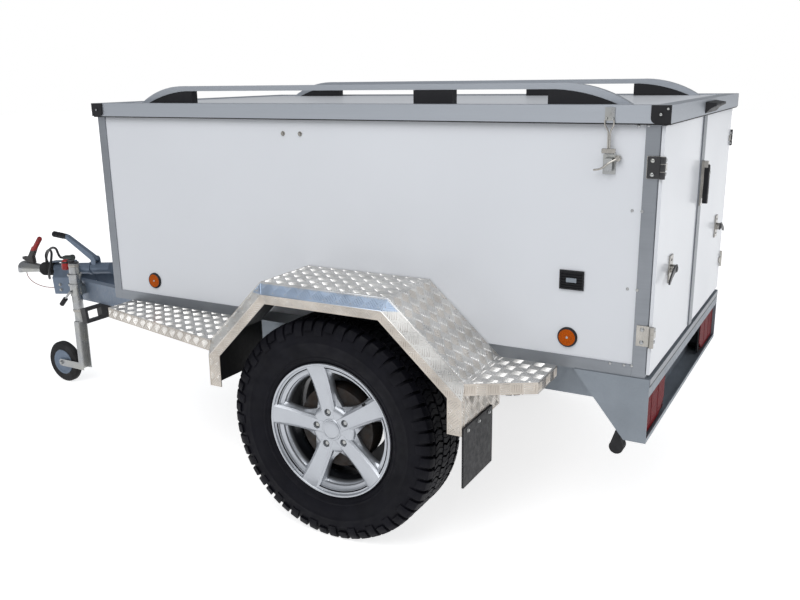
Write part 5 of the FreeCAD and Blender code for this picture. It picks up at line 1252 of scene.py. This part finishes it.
def vent_trim():
    """Frame, slats and plate of the side vents."""
    low, high = corners_of("side_vents")
    x, y, z = (low.x + high.x) / 2, high.y, (low.z + high.z) / 2
    wide, tall = high.x - low.x, high.z - low.z
    vent = Shape().at((x, y, z), LEFT)
    frame_bar(vent, wide - 0.005, tall - 0.005, 0.005, 0.0026)
    for k in range(VENT_SLATS):
        vent.at((x, y, low.z + tall * (k + 1) / (VENT_SLATS + 1)), SLAT_FACING)
        vent.slab(oblong(wide - 0.010, 0.0062), -0.0008, 0.0008, 0.0004)
    vent.other_side().keep("vent_slats", "root", black_plastic, "black_plastic")
    plate = Shape().at((x, y + 0.0012, z), LEFT)
    plate.slab(oblong(0.030, 0.013, 0.002), 0.0, 0.0022, 0.0006)
    plate.other_side().keep("vent_plates", "root", galvanised_steel, "zinc")


def lamp_trim():
    """Rims and ribs of the tail lamps."""
    face = corners_of("tail_lamps")[0].x
    inner, outer, foot, top = LAMP_EDGES
    wide, tall = outer - inner, top - foot
    rims = Shape().at((face + 0.006, (inner + outer) / 2, (foot + top) / 2), REAR)
    frame_bar(rims, wide + 0.001, tall + 0.001, 0.004, 0.0034)
    rims.other_side().keep("lamp_rims", "root", black_plastic, "black_plastic")
    bars = Shape()
    for share in (0.34, 0.67):
        bars.at((face, inner + wide * share, (foot + top) / 2), REAR)
        bars.slab(oblong(0.004, tall - 0.006), -0.0004, 0.0011, 0.0004)
    for k in range(LAMP_RIBS):
        bars.at((face, (inner + outer) / 2, foot + tall * (k + 1) / (LAMP_RIBS + 1)), REAR)
        bars.slab(oblong(wide - 0.008, 0.0014), -0.0003, 0.0005)
    bars.other_side().keep("lamp_ribs", "root", red_lens, "red_lens")


def frame_bar(shape, width, height, corner, radius):
    """A closed round bar along the edge of an oblong."""
    line = [Vector((*point[:2], 0.0)) for point in oblong(width, height, corner)]
    rings = []
    for k, point in enumerate(line):
        way = (line[(k + 1) % len(line)] - line[k - 1]).normalized()
        side = way.cross(Vector((0.0, 0.0, 1.0)))
        rings.append([point + side * x + Vector((0.0, 0.0, y)) for x, y in polygon(8, radius)])
    shape.skin(rings, closed=True)


class TRAILER_OT_lights(bpy.types.Operator):
    """Frame the side reflectors and the vents, and divide the tail lamps"""

    bl_idname = "trailer.lights"
    bl_label = "Lights and vents"

    def execute(self, context):
        reflector_trim()
        vent_trim()
        lamp_trim()
        return {"FINISHED"}


# The door hinges: heights, a sleeve as (radius, height), and the bolts' distance from the middle
HINGE_HEIGHTS = (1.186, 0.730)
HINGE_SLEEVE = ((0.0071, 0.0), (0.0074, 0.001), (0.0074, 0.017), (0.0071, 0.018))
HINGE_BOLT_STEP = 0.018
COVER_THICKNESS = 0.0022


class TRAILER_OT_hinges(bpy.types.Operator):
    """Cover the upper hinges and bolt all the hinges down"""

    bl_idname = "trailer.hinges"
    bl_label = "Hinges"

    def execute(self, context):
        x, y = JOINTS["door_left_hinge"]["pos_m"][:2]
        upper = HINGE_HEIGHTS[0]
        face = BOX_SIDE + 0.0033
        covers, bolts = Shape(), Shape()
        covers.at((x + 0.0215, face, upper), LEFT)
        covers.slab(oblong(0.037, 0.057, 0.003), 0.0, COVER_THICKNESS, 0.0007)
        for start in (-0.0285, 0.0105):
            covers.at((x, y, upper + start)).turned(HINGE_SLEEVE)
        for height, lift in zip(HINGE_HEIGHTS, (COVER_THICKNESS, 0.0)):
            for step in (-HINGE_BOLT_STEP, HINGE_BOLT_STEP):
                bolts.at((x + 0.0262, face + lift, height + step), LEFT).dome(0.0058, 0.0030)
        covers.other_side().keep("hinge_covers", "root", black_steel, "black_steel")
        bolts.other_side().keep("hinge_bolts", "root", bright_zinc, "zinc")
        for side_name, sign in SIDES:
            sleeve = Shape().at((x, sign * y, upper - 0.009)).turned(HINGE_SLEEVE)
            sleeve.keep("leaf_cover_" + side_name, "door_" + side_name, black_steel, "black_steel")
            leaf = Shape()
            for height in HINGE_HEIGHTS:
                for step in (-HINGE_BOLT_STEP, HINGE_BOLT_STEP):
                    leaf.at((x - 0.003, sign * (y - 0.023), height + step), REAR).dome(0.0050, 0.0026)
            leaf.keep("leaf_bolts_" + side_name, "door_" + side_name, bright_zinc, "zinc")
        return {"FINISHED"}


# Where the lid's latch stands along the side, and its lever, as (distance ahead, y, height)
LATCH_X = WHEEL_CENTRE.x - 0.769
LATCH_LEVER = ((-0.0245, 0.5722, 1.207), (-0.004, 0.578, 1.196), (0.018, 0.580, 1.178),
               (0.037, 0.578, 1.1755))

# One wire of the latch's bail, as (share of its spread, y, height)
BAIL_WIRE = ((1.0, 0.5800, 1.306), (1.0, 0.5795, 1.292), (0.2, 0.5760, 1.278), (0.2, 0.5735, 1.222))
BAIL_SPREAD = 0.012

# The door catches and the lock: places, and the outlines of their levers
CATCH_X = -1.6655
CATCH_PLATE_X = -1.6510
CATCH_Y = 0.385
CATCH_HEIGHT = 0.885
CATCH_BOLT_STEP = 0.0255
LOCK_HEIGHT = 1.083
CATCH_OUTLINE = ((0.013, 0.012), (-0.022, 0.011), (-0.060, -0.004), (-0.086, -0.020), (-0.082, -0.031),
                 (-0.050, -0.017), (-0.015, -0.008), (0.013, -0.012))
LOCK_OUTLINE = ((-0.010, -0.062), (0.008, -0.066), (0.012, -0.020), (0.009, 0.010), (0.012, 0.034),
                (0.006, 0.060), (-0.007, 0.058), (-0.012, 0.030), (-0.009, 0.006), (-0.012, -0.030))


def lid_latch():
    """Bolts, wire bail, lever and cover of the lid's latches."""
    keepers, bails, levers, covers = Shape(), Shape(), Shape(), Shape()
    for step in (-0.0085, 0.0085):
        keepers.at((LATCH_X - step, 0.5818, 1.3095), LEFT).dome(0.0032, 0.0020)
    for spread in (-BAIL_SPREAD, BAIL_SPREAD):
        wire = [(LATCH_X + spread * share, y, z) for share, y, z in BAIL_WIRE]
        bails.tube(rounded(wire, 0.008, closed=False), 0.0022, 8)
    levers.at((LATCH_X, 0.5745, 1.226), LEFT).slab(oblong(0.036, 0.013, 0.003), -0.004, 0.0040, 0.0012)
    levers.at((LATCH_X - 0.0245, 0.5700, 1.207), LEFT)
    levers.turned([(0.0082, -0.006), (0.0082, 0.004), (0.006, 0.0058)])
    handle = [(LATCH_X + ahead, y, z) for ahead, y, z in LATCH_LEVER]
    levers.at().tube(rounded(handle, 0.010, closed=False), 0.0028, 8)
    covers.at((LATCH_X, 0.5745, 1.190), LEFT).slab(oblong(0.022, 0.034, 0.003), 0.0, 0.0028, 0.0009)
    keepers.other_side().keep("keeper_bolts", "lid", bright_zinc, "zinc")
    bails.other_side().keep("latch_bails", "lid", stainless_steel, "stainless")
    levers.other_side().keep("latch_levers", "root", stainless_steel, "stainless")
    covers.other_side().keep("latch_covers", "root", bright_zinc, "zinc")


def door_catch(side_name, sign):
    """The lever of a door's catch and the bolts of its plate."""
    catch = Shape().at((CATCH_X, sign * CATCH_Y, CATCH_HEIGHT), REAR)
    catch.slab(rounded([(x * sign, z) for x, z in CATCH_OUTLINE], 0.006), -0.002, 0.0022, 0.0009)
    catch.dome(0.0095, 0.005)
    for step in (CATCH_BOLT_STEP, -CATCH_BOLT_STEP):
        catch.at((CATCH_PLATE_X, sign * CATCH_Y, CATCH_HEIGHT + step), REAR).dome(0.0042, 0.0024)
    catch.keep("catch_lever_" + side_name, "door_" + side_name, black_steel, "stainless")


class TRAILER_OT_latches(bpy.types.Operator):
    """Make the lid's wire bails and levers, the doors' catches and the lock's lever"""

    bl_idname = "trailer.latches"
    bl_label = "Latches"

    def execute(self, context):
        lid_latch()
        for side_name, sign in SIDES:
            door_catch(side_name, sign)
        lock = Shape().at((CATCH_X, 0.0, LOCK_HEIGHT), REAR)
        lock.slab(rounded(LOCK_OUTLINE, 0.006), -0.006, 0.0090, 0.0024)
        lock.keep("lock_lever", "door_right", black_plastic, "black_plastic")
        barrel = Shape().at((CATCH_X - 0.0085, 0.0, LOCK_HEIGHT + 0.033), REAR)
        barrel.turned([(0.0078, 0.0), (0.0078, 0.0014), (0.0066, 0.0022)])
        barrel.slab(oblong(0.0012, 0.008), 0.0022, 0.0027)
        barrel.keep("lock_barrel", "door_right", bright_zinc, "zinc")
        return {"FINISHED"}


class TRAILER_OT_chassis_fittings(bpy.types.Operator):
    """Bolt the mud flaps and the drawbar's housing"""

    bl_idname = "trailer.chassis_fittings"
    bl_label = "Chassis fittings"

    def execute(self, context):
        bolts = Shape()
        low, high = corners_of("mud_flaps")
        for y in (0.660, 0.7345, 0.810):
            bolts.at((low.x, y, high.z - 0.012), REAR).bolt(0.0052, y * 40)
        bolts.other_side()
        bolts.base = dipped(TOW_DIP)
        for sign in (-1, 1):
            for z in (-0.030, -0.055):
                for x in (0.030, 0.118):
                    bolts.at((x, sign * 0.062, z), outward(sign)).bolt(0.0070, x * 30)
        bolts.keep("chassis_bolts", "root", bright_zinc, "zinc")
        return {"FINISHED"}


# The jockey wheel's tube, and the knob of its crank: x, y and height
JOCKEY_TUBE = (1.0835, 0.170)
KNOB_PLACE = (1.1355, 0.170, 0.5655)
KNOB_SECTION = ((0.0150, 0.0), (0.0200, 0.003), (0.0212, 0.012), (0.0205, 0.030), (0.0180, 0.042),
                (0.0120, 0.0475), (0.0040, 0.0485))
BAND_HEIGHTS = (0.3755, 0.5905)
BAND_SECTION = ((0.0243, -0.006), (0.0258, -0.0045), (0.0258, 0.0045), (0.0243, 0.006))
CLAMP_GRIP = ((1.1205, 0.207, 0.434), (1.1515, 0.207, 0.403))

# The dish of the jockey wheel's rim, as (radius, height over its side)
DISH_SECTION = ((0.0140, -0.004), (0.0140, 0.0062), (0.0170, 0.0066), (0.0200, 0.0030), (0.0240, 0.0012),
                (0.0440, 0.0012), (0.0500, 0.0030), (0.0560, 0.0044), (0.0600, 0.0040), (0.0612, 0.0010),
                (0.0612, -0.004))

# The ends of the handbrake's sleeve
SLEEVE_START = Vector((1.3130, 0.0, 0.6796))
SLEEVE_END = Vector((1.4060, 0.0, 0.6861))


class TRAILER_OT_jockey_fittings(bpy.types.Operator):
    """Add the jockey wheel's knob, grip, bands, dish and axle bolt, and the handbrake's sleeve"""

    bl_idname = "trailer.jockey_fittings"
    bl_label = "Jockey wheel fittings"

    def execute(self, context):
        knob = Shape().at(KNOB_PLACE).turned(KNOB_SECTION, 28)
        knob.keep("crank_knob", "root", red_grip, "red_grip")
        grip = Shape().tube(CLAMP_GRIP, 0.0112, 14)
        grip.keep("clamp_grip", "root", black_plastic, "black_plastic")
        bands = Shape()
        for height in BAND_HEIGHTS:
            bands.at((*JOCKEY_TUBE, height)).turned(BAND_SECTION, 32)
        bands.keep("jockey_bands", "root", stainless_steel, "zinc")
        x, y, z = JOINTS["jockey_wheel_spin"]["pos_m"]
        dish = Shape()
        for sign in (-1, 1):
            dish.at((x, y + sign * 0.0148, z), outward(sign)).turned(DISH_SECTION, 40, closed=True)
        dish.keep("jockey_dish", "jockey_wheel", galvanised_steel, "zinc")
        bolt = Shape()
        for sign in (1, -1):
            bolt.at((x, JOCKEY_TUBE[1] + sign * 0.026, z), outward(sign)).bolt(0.0085)
        bolt.keep("jockey_axle_bolt", "jockey_fork", bright_zinc, "zinc")
        sleeve = Shape()
        way = SLEEVE_END - SLEEVE_START
        for share in (0.0, 0.26, 0.52, 0.78):
            ring = SLEEVE_START + way * (0.04 + share)
            sleeve.tube([ring, ring + way * 0.17], 0.0148 if share else 0.0140, 18)
        sleeve.tube([SLEEVE_START, SLEEVE_END], 0.0136, 18)
        sleeve.keep("handbrake_sleeve", "handbrake", black_plastic, "black_plastic")
        return {"FINISHED"}


# Routes of the cords, in metres from the drawbar's tilt line
CABLE_ROUTE = ((0.17833, -0.046, -0.03785), (0.21314, -0.046, -0.0415), (0.258, -0.053, -0.038),
               (0.303, -0.061, -0.02), (0.338, -0.06, 0.013), (0.35, -0.055, 0.055),
               (0.322, -0.045, 0.088), (0.273, -0.025, 0.106), (0.22, 0.006, 0.103),
               (0.193, 0.034, 0.078), (0.186, 0.052, 0.04), (0.204, 0.051, -0.001),
               (0.232, 0.028, -0.03), (0.27, -0.004, -0.04), (0.323, -0.042, -0.034),
               (0.362, -0.068, -0.005), (0.374, -0.076, 0.037), (0.352, -0.074, 0.079),
               (0.305, -0.062, 0.106), (0.255, -0.043, 0.113), (0.226, -0.029, 0.11),
               (0.205, -0.016, 0.101), (0.187, -0.007, 0.089), (0.172, -0.002, 0.08),
               (0.15904, 0.0, 0.0781), (0.14611, 0.0, 0.07946))
BREAKAWAY_ROUTE = ((0.4158, 0.0175, -0.01556), (0.41475, 0.0175, -0.0255), (0.408, 0.0195, -0.037),
                   (0.394, 0.023, -0.047), (0.374, 0.027, -0.056), (0.348, 0.031, -0.064),
                   (0.318, 0.034, -0.0695), (0.285, 0.037, -0.073), (0.251, 0.039, -0.074),
                   (0.217, 0.041, -0.072), (0.18613, 0.042, -0.06883), (0.16227, 0.042, -0.06632))


class TrailerCords(bpy.types.PropertyGroup):
    """Sizes of the cords."""

    cable_diameter: length_value("Cable", 0.012, "Width of the power cable", 0.002)
    cable_length: length_value("Cable length", 1.042, "From the gland to the plug", 0.1)
    rope_diameter: length_value("Breakaway cable", 0.004, "Width of the wire rope")
    rope_length: length_value("Breakaway length", 0.278, "From the head to the housing", 0.1)


def cord_curve(name, route, diameter, make):
    """A round cord on one smooth spline through its route."""
    curve = bpy.data.curves.new(name, "CURVE")
    curve.dimensions = "3D"
    curve.bevel_depth = diameter / 2
    curve.bevel_resolution = 5
    curve.resolution_u = 8
    curve.use_fill_caps = True
    spline = curve.splines.new("NURBS")
    spline.points.add(len(route) - 1)
    for point, step in zip(spline.points, route):
        point.co = (*(TILT_LINE + Vector(step)), 1.0)
    spline.order_u = 3
    spline.use_endpoint_u = True
    curve.materials.append(make())
    piece = bpy.data.objects.new(name, curve)
    bpy.context.collection.objects.link(piece)
    return piece


class TRAILER_OT_cords(bpy.types.Operator):
    """Lay the power cable and the breakaway cable"""

    bl_idname = "trailer.cords"
    bl_label = "Cords"

    def execute(self, context):
        sizes = context.scene.trailer_cords
        cable = cord_curve("power_cable_line", CABLE_ROUTE, sizes.cable_diameter, cable_sheath)
        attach(cable, "root")
        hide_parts("power_cable")
        rope = cord_curve("breakaway_cable_line", BREAKAWAY_ROUTE, sizes.rope_diameter, red_rope)
        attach(rope, "root")
        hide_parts("breakaway_cable")
        return {"FINISHED"}


# The camera as the photograph was taken: place in metres, angles in degrees, optics in pixels
CAMERA_PLACE = Vector((WHEEL_CENTRE.x - 1.3762, 2.8247, 1.4277))
CAMERA_HEADING = -60.478
CAMERA_DIP = 15.027
CAMERA_ROLL = -0.891
PICTURE_WIDTH = 800.0
PICTURE_HEIGHT = 600.0
FOCAL_PIXELS = 849.63
CENTRE_X_PIXELS = 389.96
CENTRE_Y_PIXELS = 303.00
SENSOR_WIDTH = 36.0


def add_camera():
    """The camera, turned and shifted as the photograph was taken."""
    heading = math.radians(CAMERA_HEADING)
    dip = math.radians(CAMERA_DIP)
    roll = math.radians(CAMERA_ROLL)
    ahead = Vector((math.cos(dip) * math.cos(heading), math.cos(dip) * math.sin(heading), -math.sin(dip)))
    right = ahead.cross(Vector((0.0, 0.0, 1.0))).normalized()
    up = right.cross(ahead)
    turned_right = right * math.cos(roll) + up * math.sin(roll)
    turned_up = up * math.cos(roll) - right * math.sin(roll)
    lens = bpy.data.cameras.new("photo_camera")
    lens.sensor_width = SENSOR_WIDTH
    lens.lens = FOCAL_PIXELS * SENSOR_WIDTH / PICTURE_WIDTH
    lens.shift_x = (PICTURE_WIDTH / 2 - CENTRE_X_PIXELS) / PICTURE_WIDTH
    lens.shift_y = (CENTRE_Y_PIXELS - PICTURE_HEIGHT / 2) / PICTURE_WIDTH
    camera = bpy.data.objects.new("photo_camera", lens)
    turn = Matrix((turned_right, turned_up, -ahead)).transposed()
    camera.matrix_world = Matrix.Translation(CAMERA_PLACE) @ turn.to_4x4()
    bpy.context.collection.objects.link(camera)
    bpy.context.scene.camera = camera


# The lamps, as (place, width), and the middle of the trailer that they look at
KEY_LAMP = ((-0.8, 3.6, 4.3), 4.0)
FILL_LAMP = ((-5.0, 0.5, 2.4), 3.0)
LAMP_TARGET = Vector((0.0, 0.0, 0.6))
WHITE = (1.0, 1.0, 1.0, 1.0)
SKY_COLOUR = (0.93, 0.96, 1.0, 1.0)
FLOOR_COLOUR = (0.82, 0.82, 0.82, 1.0)

# The floor's own white: strengths near the trailer and far from it, and the distances between
FLOOR_GLOW = (0.72, 1.0)
FLOOR_FADE = (2.2, 6.5)


def add_lamp(name, place, size, power):
    """A large soft lamp turned to the trailer."""
    lamp = bpy.data.lights.new(name, "AREA")
    lamp.energy = power
    lamp.shape = "DISK"
    lamp.size = size
    piece = bpy.data.objects.new(name, lamp)
    piece.location = place
    piece.rotation_euler = (LAMP_TARGET - Vector(place)).to_track_quat("-Z", "Y").to_euler()
    bpy.context.collection.objects.link(piece)


def seen_directly(nodes):
    """A share that is 1 for what the eye sees straight, mirrored or through glass."""
    rays = nodes.add("ShaderNodeLightPath", {}).outputs
    seen = nodes.maths("MAXIMUM", rays["Is Camera Ray"], rays["Is Glossy Ray"])
    return nodes.maths("MAXIMUM", seen, rays["Is Transmission Ray"])


def add_sky(strength):
    """Even light from all round, on a background that is plain white to the eye."""
    world = bpy.data.worlds.new("studio")
    bpy.context.scene.world = world
    world.use_nodes = True
    nodes = Nodes(world.node_tree)
    even = nodes.tree.nodes["Background"]
    nodes.feed(even.inputs["Color"], SKY_COLOUR)
    nodes.feed(even.inputs["Strength"], strength)
    white = nodes.add("ShaderNodeBackground", {"Color": WHITE, "Strength": 1.0})
    straight = nodes.add("ShaderNodeLightPath", {}).outputs["Is Camera Ray"]
    either = nodes.add("ShaderNodeMixShader", {0: straight, 1: even.outputs[0], 2: white.outputs[0]})
    nodes.feed(nodes.tree.nodes["World Output"].inputs["Surface"], either.outputs[0])


def add_floor(size):
    """A pale floor that keeps the trailer's shadow and is white away from it."""
    mesh = bpy.data.meshes.new("studio_floor")
    mesh.from_pydata([(*corner, 0.0) for corner in oblong(size, size)], [], [(0, 1, 2, 3)])
    floor = bpy.data.objects.new("studio_floor", mesh)
    bpy.context.collection.objects.link(floor)
    material = bpy.data.materials.new("studio_floor")
    material.use_nodes = True
    nodes = Nodes(material.node_tree)
    matt = nodes.tree.nodes["Principled BSDF"]
    nodes.feed(matt.inputs["Base Color"], FLOOR_COLOUR)
    nodes.feed(matt.inputs["Roughness"], 0.9)
    where = nodes.add("ShaderNodeTexCoord", {}).outputs["Object"]
    distance = nodes.add("ShaderNodeVectorMath", {0: where}, operation="LENGTH").outputs["Value"]
    strength = nodes.maths("MULTIPLY", seen_directly(nodes), nodes.span(distance, *FLOOR_GLOW, *FLOOR_FADE))
    glow = nodes.add("ShaderNodeEmission", {"Color": WHITE, "Strength": strength})
    both = nodes.add("ShaderNodeAddShader", {0: matt.outputs[0], 1: glow.outputs[0]})
    nodes.feed(nodes.tree.nodes["Material Output"].inputs["Surface"], both.outputs[0])
    mesh.materials.append(material)


class TRAILER_OT_stage(bpy.types.Operator):
    """Add the floor, the light and the camera"""

    bl_idname = "trailer.stage"
    bl_label = "Stage"

    def execute(self, context):
        stage = context.scene.trailer_stage
        add_camera()
        add_lamp("key_lamp", *KEY_LAMP, stage.key_power)
        add_lamp("fill_lamp", *FILL_LAMP, stage.fill_power)
        add_sky(stage.sky)
        add_floor(stage.floor_size)
        context.scene.view_settings.view_transform = "Standard"
        return {"FINISHED"}


GROUPS = {
    "trailer_colours": TrailerColours,
    "trailer_stage": TrailerStage,
    "trailer_cords": TrailerCords,
    "trailer_tyres": TrailerTyres,
    "trailer_plate": TrailerPlate,
    "trailer_fittings": TrailerFittings,
}
STEPS = [TRAILER_OT_stage, TRAILER_OT_cords, TRAILER_OT_finishes, TRAILER_OT_tyres,
         TRAILER_OT_wheels, TRAILER_OT_plate, TRAILER_OT_box_fittings, TRAILER_OT_lid_fittings,
         TRAILER_OT_lights, TRAILER_OT_hinges, TRAILER_OT_latches, TRAILER_OT_chassis_fittings,
         TRAILER_OT_jockey_fittings]


class TRAILER_PT_panel(bpy.types.Panel):
    """The trailer's pieces in the sidebar"""

    bl_label = "Trailer"
    bl_idname = "TRAILER_PT_panel"
    bl_space_type = "VIEW_3D"
    bl_region_type = "UI"
    bl_category = "Trailer"

    def draw(self, context):
        for step in STEPS:
            self.layout.operator(step.bl_idname)
        for group in GROUPS:
            settings = getattr(context.scene, group)
            for name in settings.__annotations__:
                self.layout.prop(settings, name)


def register():
    """Make the settings, the operators and the panel known to Blender."""
    for name, group in GROUPS.items():
        bpy.utils.register_class(group)
        setattr(bpy.types.Scene, name, bpy.props.PointerProperty(type=group))
    for part in (*STEPS, TRAILER_PT_panel):
        bpy.utils.register_class(part)


def unregister():
    """Take them all out again."""
    for part in (TRAILER_PT_panel, *reversed(STEPS)):
        bpy.utils.unregister_class(part)
    for name, group in reversed(list(GROUPS.items())):
        delattr(bpy.types.Scene, name)
        bpy.utils.unregister_class(group)


def main():
    """Make every piece in order and keep the sizes."""
    register()
    for step in STEPS:
        getattr(bpy.ops.trailer, step.bl_idname.split(".")[1])()


if __name__ == "__main__":
    main()
